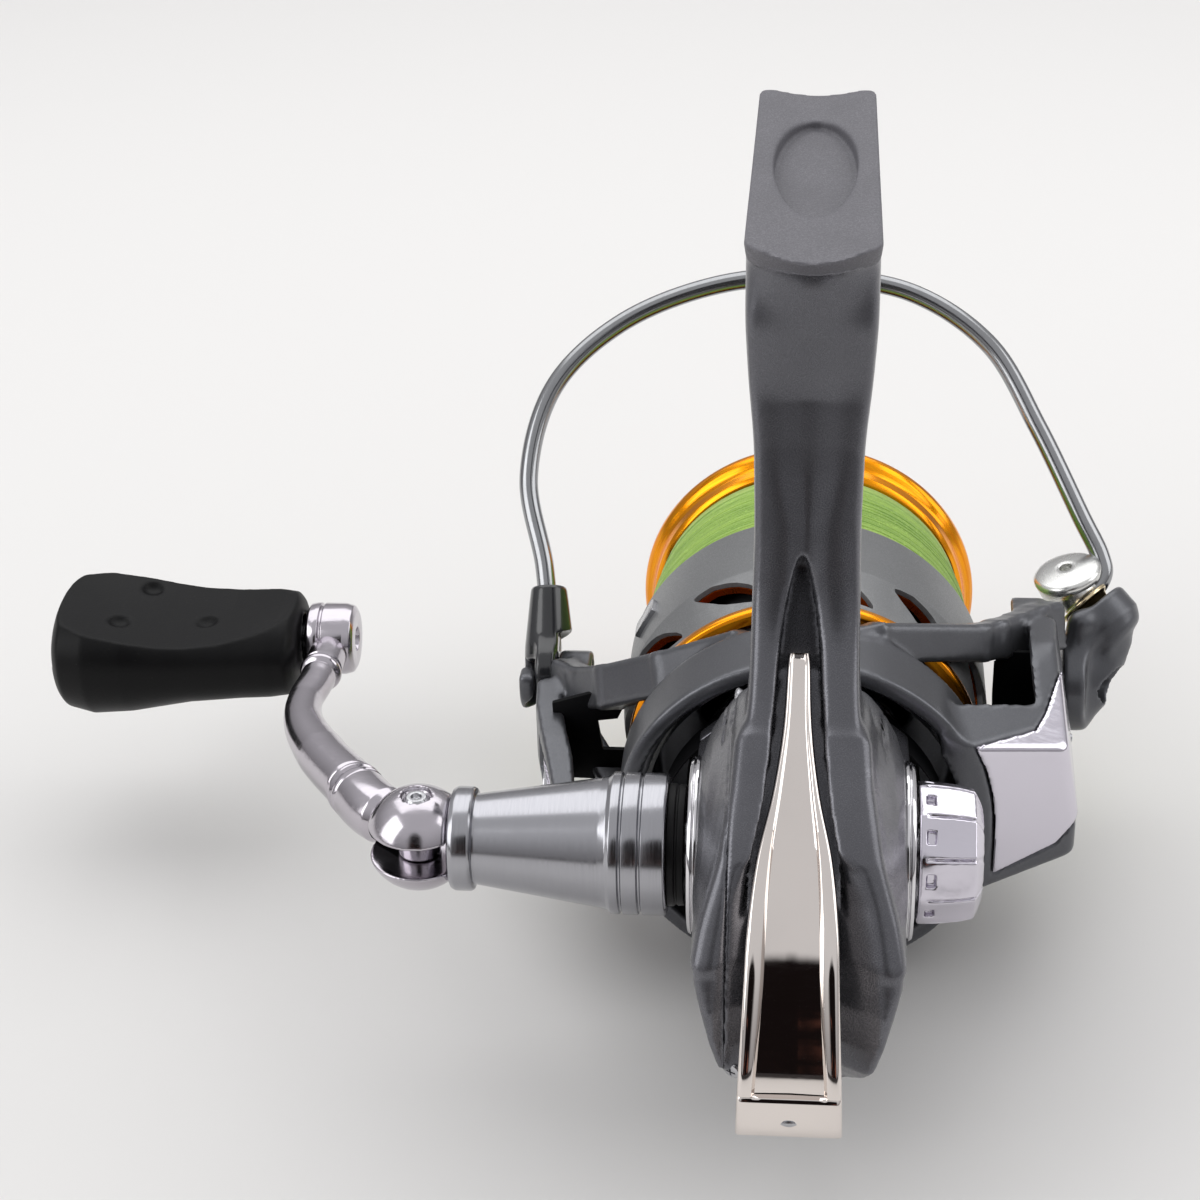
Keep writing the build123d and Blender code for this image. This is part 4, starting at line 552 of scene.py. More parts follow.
def curve(points: Sequence[Sequence[float]], count: int) -> np.ndarray:
    """Smooth line through points.

    Args:
        points: Points, of any number of values.
        count: Number of samples.

    Returns:
        The samples, one a row.
    """
    knots = np.array(points, float)
    steps = np.linalg.norm(np.diff(knots[:, :3], axis=0), axis=1) ** 0.5
    at = np.concatenate([[0], np.cumsum(steps)])
    slopes = np.gradient(knots, at, axis=0)
    where = np.linspace(0.0, at[-1], count)
    cell = np.clip(np.searchsorted(at, where, side="right") - 1, 0, len(at) - 2)
    wide = (at[cell + 1] - at[cell])[:, None]
    t = ((where - at[cell]) / wide[:, 0])[:, None]
    first = (2 * t**3 - 3 * t**2 + 1) * knots[cell] + (t**3 - 2 * t**2 + t) * wide * slopes[cell]
    return first + (3 * t**2 - 2 * t**3) * knots[cell + 1] + (t**3 - t**2) * wide * slopes[cell + 1]


def eased(points: Sequence[Sequence[float]], radius: float,
        parts: int = 4, closed: bool = False) -> list[tuple]:
    """Line with its corners eased.

    Args:
        points: Corners.
        radius: Distance from a corner at which the easing starts.
        parts: Segments in each corner.
        closed: Whether the last point joins the first.

    Returns:
        The eased line.
    """
    corners = [np.array(p, float) for p in points]
    done: list[tuple] = []
    for i, corner in enumerate(corners):
        if not closed and i in (0, len(corners) - 1):
            done.append(tuple(corner))
            continue
        before = corners[i - 1] - corner
        after = corners[(i + 1) % len(corners)] - corner
        near, far = np.linalg.norm(before), np.linalg.norm(after)
        first = corner + before * min(radius / near, 0.46)
        last = corner + after * min(radius / far, 0.46)
        for t in np.linspace(0, 1, parts + 1):
            done.append(tuple((1 - t) ** 2 * first + 2 * t * (1 - t) * corner + t * t * last))
    return done


def rings(sections: Sequence[np.ndarray], closed: bool = False) -> Form:
    """Surface through sections of equal size, closed at its ends.

    Args:
        sections: Arrays of points.
        closed: Whether the last section joins the first.

    Returns:
        The form.
    """
    count = len(sections[0])
    faces: list[tuple[int, ...]] = []
    for s in range(len(sections) - (0 if closed else 1)):
        low, high = s * count, ((s + 1) % len(sections)) * count
        faces += [(low + i, low + (i + 1) % count, high + (i + 1) % count, high + i) for i in range(count)]
    if not closed:
        faces.append(tuple(range(count))[::-1])
        faces.append(tuple(range((len(sections) - 1) * count, len(sections) * count)))
    return Form(np.vstack(sections), faces)


def turned(profile: Sequence[Flat], axis: Axis,
        centre: Flat = (0, 0), steps: int = 112, ease: float = 0.25) -> Form:
    """Form turned on a lathe.

    Args:
        profile: Closed line of (along, radius).
        axis: Axis of the lathe.
        centre: Place of the axis on the two other axes, in order.
        steps: Number of faces around.
        ease: Size of the eased corners.

    Returns:
        The form.
    """
    hollow = all(radius > 0 for _, radius in profile)
    line = eased(profile, ease, 3, closed=hollow) if ease else list(profile)
    angles = np.arange(steps) * 2 * np.pi / steps
    others = [k for k in range(3) if k != axis.value]
    sections = []
    for along, radius in line:
        ring = np.zeros((steps, 3))
        ring[:, axis.value] = along
        ring[:, others[0]] = centre[0] + max(radius, 1e-4) * np.cos(angles)
        ring[:, others[1]] = centre[1] + max(radius, 1e-4) * np.sin(angles)
        sections.append(ring)
    return rings(sections, closed=hollow)


def prism(outline: Sequence[Flat], low: float, high: float, axis: Axis, inset: float = 0.3) -> Form:
    """Plate of an outline, with eased rims.

    Args:
        outline: Closed line on the two other axes, in order.
        low: Lower face.
        high: Upper face.
        axis: Axis across the plate.
        inset: Size of the eased rims.

    Returns:
        The form.
    """
    flat = np.array(outline, float)
    middle = flat.mean(axis=0)
    reach = np.linalg.norm(flat - middle, axis=1).max()
    others = [k for k in range(3) if k != axis.value]
    sections = []
    for t, pull in ((0, 1), (0.3, 0.3), (1, 0), (-1, 0), (-0.3, 0.3), (0, 1)):
        ring = np.zeros((len(flat), 3))
        ring[:, others[0]], ring[:, others[1]] = (middle + (flat - middle) * (1 - inset * pull / reach)).T
        if len(sections) < 3:
            ring[:, axis.value] = low + inset * t
        else:
            ring[:, axis.value] = high + inset * t
        sections.append(ring)
    return rings(sections)


def tube(path: np.ndarray, radii: Sequence[float] | float, sides: int = 40) -> Form:
    """Round bar along a line.

    Args:
        path: Points of the line.
        radii: Radius at each point, or one for all.
        sides: Faces around.

    Returns:
        The form.
    """
    sizes = np.broadcast_to(radii, (len(path),))
    tangents = np.gradient(path, axis=0)
    tangents /= np.linalg.norm(tangents, axis=1)[:, None]
    side = np.cross(tangents[0], (0.21, 0.33, 0.92))
    angles = np.arange(sides) * 2 * np.pi / sides
    sections = []
    for point, tangent, size in zip(path, tangents, sizes):
        side = side - tangent * np.dot(side, tangent)
        side /= np.linalg.norm(side)
        other = np.cross(tangent, side)
        sections.append(point + size * (np.outer(np.cos(angles), side) + np.outer(np.sin(angles), other)))
    return rings(sections)


def standing(form: Form, centre: Sequence[float], direction: Sequence[float]) -> Form:
    """Form made along Z at the origin, stood on the axis that runs through a centre in a direction."""
    turn = Vector(direction).to_track_quat("Z", "Y").to_matrix().to_4x4()
    return form.moved(Matrix.Translation(Vector(centre)) @ turn)


# ---- castings
class Block:
    """Block of space in which a casting is worked out, as open coordinate arrays."""

    def __init__(self, low: Point, high: Point, step: float) -> None:
        """Lay out the block.

        Args:
            low: Lowest corner in millimetres.
            high: Highest corner.
            step: Distance between samples.
        """
        self.low = np.array(low, float)
        self.step = step
        counts = [int(round((b - a) / step)) + 1 for a, b in zip(low, high)]
        lines = [a + step * np.arange(n, dtype=np.float32) for a, n in zip(low, counts)]
        self.x, self.y, self.z = np.ix_(*[line.astype(np.float32) for line in lines])

    def surface(self, field_values: np.ndarray, polish: int = 3) -> Form:
        """Surface on which the values are zero.

        Args:
            field_values: Distance to the surface at each sample, negative inside.
            polish: Rounds of evening out.

        Returns:
            The surface.
        """
        shape = (self.x.size, self.y.size, self.z.size)
        values = np.array(np.broadcast_to(field_values, shape), np.float32)
        for face in (values[0], values[-1], values[:, 0], values[:, -1], values[:, :, 0], values[:, :, -1]):
            np.maximum(face, self.step, out=face)
        inside = values < 0
        corners = [(i, j, k) for i in (0, 1) for j in (0, 1) for k in (0, 1)]
        cut = [slice(None, -1), slice(1, None)]
        count = sum(inside[cut[i], cut[j], cut[k]].astype(np.int8) for i, j, k in corners)
        cells = np.argwhere((count > 0) & (count < 8))
        index = np.full(tuple(n - 1 for n in shape), -1, np.int32)
        index[tuple(cells.T)] = np.arange(len(cells))
        total = np.zeros((len(cells), 3))
        hits = np.zeros(len(cells))
        for axis in range(3):
            for a, b in ((0, 0), (0, 1), (1, 0), (1, 1)):
                start = np.insert(np.array([a, b]), axis, 0)
                end = np.insert(np.array([a, b]), axis, 1)
                first = values[tuple((cells + start).T)]
                last = values[tuple((cells + end).T)]
                crossed = (first < 0) != (last < 0)
                share = np.where(crossed, first / np.where(crossed, first - last, 1), 0)
                place = cells + start + share[:, None] * (end - start)
                total += place * crossed[:, None]
                hits += crossed
        points = total / hits[:, None]
        faces = []
        for axis in range(3):
            one, two = [k for k in range(3) if k != axis]
            span = [slice(1, n - 1) for n in shape]
            span[axis] = slice(0, shape[axis] - 1)
            onward = list(span)
            onward[axis] = slice(1, shape[axis])
            here, there = inside[tuple(span)], inside[tuple(onward)]
            for edges, flip in ((here & ~there, axis == 1), (~here & there, axis != 1)):
                base = np.argwhere(edges) + [0 if k == axis else 1 for k in range(3)]
                quad = []
                for u, v in ((-1, -1), (0, -1), (0, 0), (-1, 0)):
                    spot = base.copy()
                    spot[:, one] += u
                    spot[:, two] += v
                    quad.append(index[tuple(spot.T)])
                quad = np.stack(quad[::-1] if flip else quad, axis=1)
                faces.append(quad)
        quads = np.vstack(faces)
        points = self._even(points, quads, values, polish)
        return Form(points * self.step + self.low, [tuple(q) for q in quads.tolist()])

    @staticmethod
    def _even(points: np.ndarray, quads: np.ndarray, values: np.ndarray, rounds: int) -> np.ndarray:
        """Spread the points evenly while they stay on the surface.

        Args:
            points: Points in samples.
            quads: Faces.
            values: Distance at each sample.
            rounds: Number of rounds.

        Returns:
            The points.
        """
        ends = np.vstack([quads[:, [0, 1]], quads[:, [1, 2]], quads[:, [2, 3]], quads[:, [3, 0]]])
        limit = np.array(values.shape) - 1.001

        def sample(spots: np.ndarray) -> np.ndarray:
            """Distance between samples, blended from the eight around each spot.

            Args:
                spots: Places in samples.

            Returns:
                The distances.
            """
            spots = np.clip(spots, 0, limit)
            base = spots.astype(int)
            sides = (1 - (spots - base), spots - base)
            result = np.zeros(len(spots))
            for i in (0, 1):
                for j in (0, 1):
                    for k in (0, 1):
                        share = sides[i][:, 0] * sides[j][:, 1] * sides[k][:, 2]
                        result += share * values[base[:, 0] + i, base[:, 1] + j, base[:, 2] + k]
            return result

        for _ in range(rounds):
            total = np.zeros_like(points)
            for k in range(3):
                total[:, k] = np.bincount(ends[:, 0], points[ends[:, 1], k], len(points))
                total[:, k] += np.bincount(ends[:, 1], points[ends[:, 0], k], len(points))
            count = sum(np.bincount(ends[:, k], minlength=len(points)) for k in (0, 1))
            points = points * 0.4 + total / count[:, None] * 0.6
            here = sample(points)
            slope = np.stack([sample(points + np.eye(3)[k] * 0.5) - sample(points - np.eye(3)[k] * 0.5)
                for k in range(3)], axis=1)
            size = np.maximum((slope**2).sum(axis=1), 1e-4)
            step = np.clip(here / size, -0.6, 0.6)[:, None] * slope
            points = points - step * 0.9
        return points


Space = np.ndarray


def join(first: Space, second: Space, blend: float = 0.0) -> Space:
    """Both solids, with a fillet between them.

    Args:
        first: One solid.
        second: The other.
        blend: Reach of the fillet.

    Returns:
        The distance, negative inside.
    """
    if blend <= 0:
        return np.minimum(first, second)
    near = np.maximum(blend - np.abs(first - second), 0) / blend
    return np.minimum(first, second) - near * near * blend / 4


def united(parts: Iterable[Space], blend: float = 0.0) -> Space:
    """All solids as one, each joined to those before it."""
    return reduce(lambda whole, part: join(whole, part, blend), parts)


def common(first: Space, second: Space, blend: float = 0.0) -> Space:
    """What two solids share, with a rounded edge."""
    return -join(-first, -second, blend)


def cut(first: Space, second: Space, blend: float = 0.0) -> Space:
    """First solid without the second."""
    return common(first, -second, blend)


def plate(outline: Sequence[Flat], u: Space, v: Space) -> Space:
    """Distance from a closed outline in a plane.

    Args:
        outline: Corners.
        u: First coordinate.
        v: Second coordinate.

    Returns:
        The distance, negative inside.
    """
    best = None
    sign = 1.0
    for (x0, y0), (x1, y1) in zip(outline, list(outline[1:]) + [outline[0]]):
        ex, ey = x1 - x0, y1 - y0
        wx, wy = u - x0, v - y0
        along = np.clip((wx * ex + wy * ey) / (ex * ex + ey * ey), 0, 1)
        far = (wx - ex * along) ** 2 + (wy - ey * along) ** 2
        best = far if best is None else np.minimum(best, far)
        above = v >= y0
        below = v < y1
        left = ex * wy > ey * wx
        flip = (above & below & left) | (~above & ~below & ~left)
        sign = np.where(flip, -sign, sign)
    return sign * np.sqrt(best)


def around(g: Block, spot: Sequence[float], way: np.ndarray) -> tuple[Space, Space]:
    """Cylinder coordinates about a line.

    Args:
        g: Block of space.
        spot: A point of the line.
        way: Its direction, of length one.

    Returns:
        The place along the line and the distance from it.
    """
    p = [g.x - spot[0], g.y - spot[1], g.z - spot[2]]
    t = p[0] * way[0] + p[1] * way[1] + p[2] * way[2]
    return t, np.sqrt(np.maximum(p[0] ** 2 + p[1] ** 2 + p[2] ** 2 - t * t, 0))


def slab(value: Space, low: float, high: float) -> Space:
    """Space between two parallel planes."""
    return np.abs(value - (low + high) / 2) - (high - low) / 2


def bar(g: Block, line: Sequence[Sequence[float]], wide: Point, blend: float = 0.6) -> Space:
    """Flat bar through points, each with its half width and half thickness.

    Args:
        g: Block of space.
        line: Rows of x, y, z, half width and half thickness.
        wide: Direction of the width.
        blend: Rounding of its edges.

    Returns:
        The distance, negative inside.
    """
    pieces = []
    for start, end in zip(line, line[1:]):
        a, b = np.array(start[:3], float), np.array(end[:3], float)
        run = b - a
        length = np.linalg.norm(run)
        run /= length
        flat = unit(np.cross(run, wide))
        across = np.cross(flat, run)
        p = [g.x - a[0], g.y - a[1], g.z - a[2]]
        t = p[0] * run[0] + p[1] * run[1] + p[2] * run[2]
        u = p[0] * across[0] + p[1] * across[1] + p[2] * across[2]
        v = p[0] * flat[0] + p[1] * flat[1] + p[2] * flat[2]
        share = np.clip(t / length, 0, 1)
        half = start[3] + (end[3] - start[3]) * share
        thick = start[4] + (end[4] - start[4]) * share
        over = np.abs(t - length / 2) - length / 2 - thick * 0.4
        pieces.append(common(common(np.abs(u) - half, np.abs(v) - thick, blend), over))
    return united(pieces, 0.4)


class Shop:
    """Makes finished pieces out of forms and hangs them on the frame."""

    @staticmethod
    def piece(name: str, form: Form, surface: Surfaces, body: str, slot: str,
            stands_for: Sequence[str] = (), sharp: float = 32.0,
            plugs: Form | None = None) -> bpy.types.Object:
        """Make a piece.

        Args:
            name: Name of the piece.
            form: Its shape in millimetres.
            surface: Its finish.
            body: Body that it rides on.
            slot: Material slot of the record. Not used.
            stands_for: CAD nodes that it replaces.
            sharp: Angle in degrees from which an edge stays crisp.
            plugs: Form to take out of it.

        Returns:
            The piece.
        """
        mesh = form.mesh(name)
        if plugs is not None:
            mesh = Shop.pierced(mesh, plugs)
        mesh.transform(Matrix.Translation(ORIGIN) @ Matrix.Scale(MM, 4))
        made = bpy.data.objects.new(name, mesh)
        bpy.context.scene.collection.objects.link(made)
        mesh.shade_smooth()
        mesh.set_sharp_from_angle(angle=math.radians(sharp))
        dress(made, surface)
        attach(made, body)
        if stands_for:
            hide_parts(*stands_for)
        LOG.info("%s: %d faces, rides on %s", name, len(mesh.polygons), body)
        return made

    @staticmethod
    def pierced(mesh: bpy.types.Mesh, plugs: Form) -> bpy.types.Mesh:
        """Take a form out of a mesh.

        Args:
            mesh: The mesh, in millimetres.
            plugs: What to take out.

        Returns:
            The pierced mesh.
        """
        whole = bpy.data.objects.new("whole", mesh)
        tool = bpy.data.objects.new("tool", plugs.mesh("tool"))
        for made in (whole, tool):
            bpy.context.scene.collection.objects.link(made)
        step = whole.modifiers.new("pierce", "BOOLEAN")
        step.operation = "DIFFERENCE"
        step.solver = "EXACT"
        step.object = tool
        step.use_self = True
        result = bpy.data.meshes.new_from_object(whole.evaluated_get(bpy.context.evaluated_depsgraph_get()))
        for made in (whole, tool):
            bpy.data.objects.remove(made)
        return result


# ---- body
Line = Sequence[Flat]


def along(line: Line, value: Space) -> Space:
    """Read a line of (place, size) at places."""
    return np.interp(value, [p[0] for p in line], [p[1] for p in line]).astype(np.float32)


def softened(line: Line, value: Space, reach: float = 1.8) -> Space:
    """Read a line of (place, size) at places, its corners rounded off over a reach each way."""
    return sum(along(line, value + reach * k) for k in (-1, -0.5, 0, 0.5, 1)) / 5


@dataclass
class Body:
    """Case, stem and foot in one casting, with the side cover that closes it."""

    step: float = 0.4
    case_middle: Flat = (-2.0, 6.0)
    case_radius: float = 20.6
    boss_radius: float = 10.1
    handle_z: float = 7.5
    cover_x: float = -7.6
    cover_top: float = 27.2
    cover_screws: tuple[Flat, ...] = ((-16, -5), (11, 20))
    axle_rooms: tuple[Point, ...] = ((15.5, -8.6, 8.8), (7.05, -10.7, 10.7), (4.2, -20, 20))
    shaft_rooms: tuple[Point, ...] = ((11.45, 18.6, 29), (6.6, -2, 29))
    foot_z: float = 76.0
    foot_half: float = 7.2
    blend_z: float = 67.5
    top_z: float = 78.0
    front_y: float = 14.4
    stem_half: Line = ((-6, 7.4), (4, 9.7), (8.5, 10.9), (10.5, 11), (14.3, 10.15), (19.4, 8.35),
        (24.4, 7.25), (30, 6.2), (34, 6.1), (40, 6.05),
        (46, 5.95), (55, 6.15), (62, 6.85), (69, 7.2), (78, 7.2))
    stem_rear: Line = ((4, -29.4), (11, -26.2), (15, -23.2), (19.6, -19.8), (24.2, -14.2), (29, -8.2),
        (34.6, -2.2), (39, 0.8), (46, 3.1), (53, 4.7), (62, 6), (70, 5.2), (74.8, 3.2), (78, 2.2))
    stem_front: Line = ((10, -2), (16, 2), (23.5, 9.5), (30, 12.6),
        (40, 15.2), (50, 18.2), (60, 24), (68, 29.5), (74.8, 35), (78, 40))
    facet_edge: Line = ((-8, 6.6), (-4, 7.6), (2.6, 9.3),
        (8.3, 8.8), (16.1, 7), (19.4, 5.5), (21.5, 1), (24, -9))
    case_half: Line = ((0, 11.4), (10.1, 11.4), (12.8, 11.15), (15.4, 10.35), (18, 9.1), (20.6, 7.3),
        (24, 5))
    groove_depth: Line = ((30, 0.9), (38, 0.85), (46, 0.6), (52, 0.95), (60, 1.15), (67, 0.6), (72, 0))
    groove_half: Line = ((30, 2.4), (42, 1.2), (47, 1.4), (55, 3.2), (64, 4))
    shoulder_x: Line = ((10, 6.5), (30, 3.6), (46, 2.4), (70, 3))
    narrowing: Line = ((40, 0.16), (56, 0.1), (66, 0.02))
    seat_side: Line = ((-1.8, 34.6), (-8, 29.5), (-14, 24.9), (-20, 20.4), (-26, 15.8), (-40, 11.4),
        (-40, -16), (-31.2, -16), (-31.2, -7), (-30.8, 0.2), (-27.8, 11), (-18.6, 19.8), (-8.2, 27.4),
        (-3, 32.2))
    slot_side: Line = ((8, 46.5), (6.6, 40), (1, 30.5), (-8, 22.6), (-17, 16.4), (-30, 12), (-30, 24),
        (-12, 38), (-4, 48))
    lean_x: float = -0.55
    slot_half: Line = ((10, 5.6), (15, 5.4), (18.6, 4.95), (21, 4.2), (23.6, 3.45),
        (27, 2.9), (31, 2.5), (35, 2.15), (39, 1.45), (42.5, 0.55), (44.5, -0.5))
    taper: Line = ((-12, 5.95), (1, 5.55), (13, 5.3), (18.6, 4.75), (23.6, 3), (29, 1.85), (40, 1.4))

    def stem(self, g: Block) -> Space:
        """Stem with the two soft ridges of its rear face.

        Args:
            g: Block of space.

        Returns:
            The distance, negative inside.
        """
        half = softened(self.stem_half, g.z)
        rear = softened(self.stem_rear, g.z)
        slope = np.gradient(rear[0, 0], self.step)[None, None, :]
        top = np.clip((g.z - self.blend_z) / 7.5, 0, 1) ** 2
        bulge = 1.45 + 3.8 * (g.x / self.foot_half) ** 2 + 0.9 * (self.top_z - g.z)
        rear = rear * (1 - top) + top * bulge
        lean = 1 / np.sqrt(1 + slope**2)
        a = np.abs(g.x)
        groove = along(self.groove_depth, g.z) * np.exp(-((g.x / along(self.groove_half, g.z)) ** 2))
        shoulder = 0.055 * np.maximum(a - along(self.shoulder_x, g.z), 0) ** 2
        back = (rear + groove + shoulder - g.y) * lean
        shape = common(a - half, back, 1.3)
        narrow = a - half + np.maximum(g.y - rear - 7.0, 0) * along(self.narrowing, g.z)
        shape = common(shape, narrow, 1.0)
        front = (g.y - along(self.stem_front, g.z)) * 0.9
        shape = common(shape, front, 3.0)
        return common(common(shape, g.z - 76.2), 11.0 - g.z)

    def foot(self, g: Block) -> Space:
        """Foot plate with its rod hollow and its oval recess.

        Args:
            g: Block of space.

        Returns:
            The distance, negative inside.
        """
        low = 74.6 + 0.11 * np.maximum(g.y - 36.0, 0)
        edge = 1.5 + 4.2 * (g.x / self.foot_half) ** 2 + 0.9 * (self.top_z - g.z)
        sides = np.abs(g.x) - 7.3 + 0.006 * (g.y - 5.0)
        plan = common(common(sides, (edge - g.y) * 0.7, 0.5), g.y - 53.6, 1.5)
        chamfer = common(sides + (self.top_z - g.z) * 0.1, low - g.z, 1.2)
        shape = common(plan, chamfer, 0.8)
        shape = common(shape, g.z - self.top_z, 0.35)
        channel = 18.0 - np.hypot(g.x, g.z - 95.3)
        shape = common(shape, channel, 0.3)
        oval = (np.hypot(g.x / 4.56, (g.y - 29.9) / 14.8) - 1) * 4.56
        pocket = common(oval, 76.2 - g.z)
        return cut(shape, pocket, 0.35)

    def case(self, g: Block) -> Space:
        """Round case with its bosses, tail lobes and neck.

        Args:
            g: Block of space.

        Returns:
            The distance, negative inside.
        """
        cy, cz = self.case_middle
        r = np.hypot(g.y - cy, g.z - cz)
        a = np.abs(g.x)
        half = along(self.case_half, r)
        slim = 1.1 * np.clip((g.z - 19) / 6.0, 0, 1)
        drum = common((a - half + slim) * 0.9, r - self.case_radius, 1.4)
        tail = plate(((-9, 28), *((y, z) for z, y in reversed(self.stem_rear[1:5])), (-28.2, 6), (-29, 2),
            (-28.4, -1.4), (-26, -3.9), (-20, -9), (-13, -13), (-10, -10), (-13, 4), (-8, 18), (0, 27)),
            g.y, g.z)
        tail = common(a - along(((-14, 5), (-8, 6.6), *self.stem_half[1:7]), g.z), tail, 1.6)
        shape = join(drum, tail, 1.8)
        shape = common(shape, g.y - self.front_y, 0.5)
        boss = common(np.hypot(g.y, g.z - self.handle_z) - self.boss_radius, a - 11.4, 0.4)
        axle = np.hypot(g.x, g.z)
        base = common(axle - 17.2, slab(g.y, 10.0, 16.8), 0.4)
        neck = common(axle - 13.2, slab(g.y, 10.0, 28.0), 0.4)
        return join(join(join(shape, boss, 0.5), base, 0.4), neck, 0.8)

    def seat(self, g: Block) -> Space:
        """Room of the guard and the slot above it, whose darkness is painted shade from a dead black lining.

        Args:
            g: Block of space.

        Returns:
            The distance, negative inside.
        """
        a = np.abs(g.x - self.lean_x)
        guard = common(a - along(self.taper, g.z) - 0.12, plate(self.seat_side, g.y, g.z))
        return join(guard, self.slot(g))

    def slot(self, g: Block) -> Space:
        """Slot above the guard and beside it, which a dead black lining fills with painted shade.

        Args:
            g: Block of space.

        Returns:
            The distance, negative inside.
        """
        a = np.abs(g.x - self.lean_x)
        return common(a - along(self.slot_half, g.z), plate(self.slot_side, g.y, g.z), 0.3)

    def facets(self, g: Block) -> Space:
        """Flats beside the guard, which fall away towards it.

        Args:
            g: Block of space.

        Returns:
            The distance, negative inside.
        """
        rear = along(((-14, -19), (-9, -20), (-3.9, -26), (-1.4, -28.4),
            (2, -29), (6, -28.2), *self.stem_rear[1:5]), g.z)
        reach = along(self.facet_edge, g.z) - np.abs(g.x)
        return (g.y - rear - 0.55 * reach) * 0.8

    def rooms(self, g: Block) -> Space:
        """Rooms of the gears, the slider, the shaft, the clutch and the bearings.

        Args:
            g: Block of space.

        Returns:
            The distance, negative inside.
        """
        axle = np.hypot(g.y, g.z - self.handle_z)
        spool = np.hypot(g.x, g.z)
        rooms = [common(axle - radius, slab(g.x, low, high)) for radius, low, high in self.axle_rooms]
        rooms += [common(spool - radius, slab(g.y, low, high)) for radius, low, high in self.shaft_rooms]
        rooms.append(common(np.hypot(g.y + 10.4, g.z + 0.66) - 9.5, slab(g.x, -2.6, 8.8)))
        rooms.append(common(common(slab(g.x, -3.4, 4.2), slab(g.y, -21.4, 0)), slab(g.z, -7.4, 4.4)))
        rooms.append(common(np.hypot(g.x - 0.5, g.z + 5.2) - 0.85, slab(g.y, -22.4, 6.0)))
        return united(rooms)

    def screw_seats(self, g: Block) -> Space:
        """Counterbores of the side cover's screws."""
        return united(common(np.hypot(g.y - y, g.z - z) - 1.7, g.x - (self.cover_x - 0.3))
            for y, z in self.cover_screws)

    def build(self) -> None:
        """Cast the case with its stem, the cover and the foot, and add dead black pieces in the slot and
        around the neck as painted shade.
        """
        g = Block((-12.4, -32, -16.4), (12.4, 42, 77.2), self.step)
        whole = join(self.case(g), self.stem(g), 1.8)
        whole = cut(whole, self.rooms(g))
        whole = cut(whole, self.facets(g), 0.25)
        whole = cut(whole, self.seat(g), 0.5)
        whole = cut(whole, self.screw_seats(g))
        space = common(common(g.x - self.cover_x, g.y - self.front_y), g.z - self.cover_top)
        case = common(whole, g.z - self.foot_z)
        housing = g.surface(cut(case, space, 0.04))
        Shop.piece("main_case", housing, Surfaces.BODY, "housing", "body_paint", ["main_housing"], 60)
        cover = g.surface(common(case, space - 0.01, 0.04))
        Shop.piece("case_side_cover", cover, Surfaces.BODY, "housing", "body_paint", ["side_cover"], 60)
        fine = Block((-8, -1.4, 73.6), (8, 54.6, 79), 0.25)
        foot = fine.surface(self.foot(fine))
        # Painted shade: a dead black lining in the slot above and beside the guard stands in for the shade
        # in that slot.
        fine = Block((-7.4, -26, 17.6), (6.4, 9, 47), 0.25)
        skin = common(join(self.case(fine), self.stem(fine), 1.8), self.facets(fine), 0.25)
        slot_shade = fine.surface(common(np.abs(self.slot(fine) + 0.02) - 0.2, skin + 0.25))
        # Painted shade: a dead black ring on the front face around the neck stands in for the shade inside
        # the rotor.
        ring = [(13.3, 16.84), (13.3, 17.05), (17.25, 17.05), (17.25, 16.84)]
        neck = turned(ring, Axis.Y, (0, 0), 120, 0.05)
        for name, form, look in (("foot_plate", foot, Surfaces.FOOT), ("slot_painted_shade", slot_shade, Surfaces.SHADE_BLACK),
                ("neck_painted_shade", neck, Surfaces.SHADE_BLACK)):
            Shop.piece(name, form, look, "housing", "body_paint", ["main_housing"], 60)


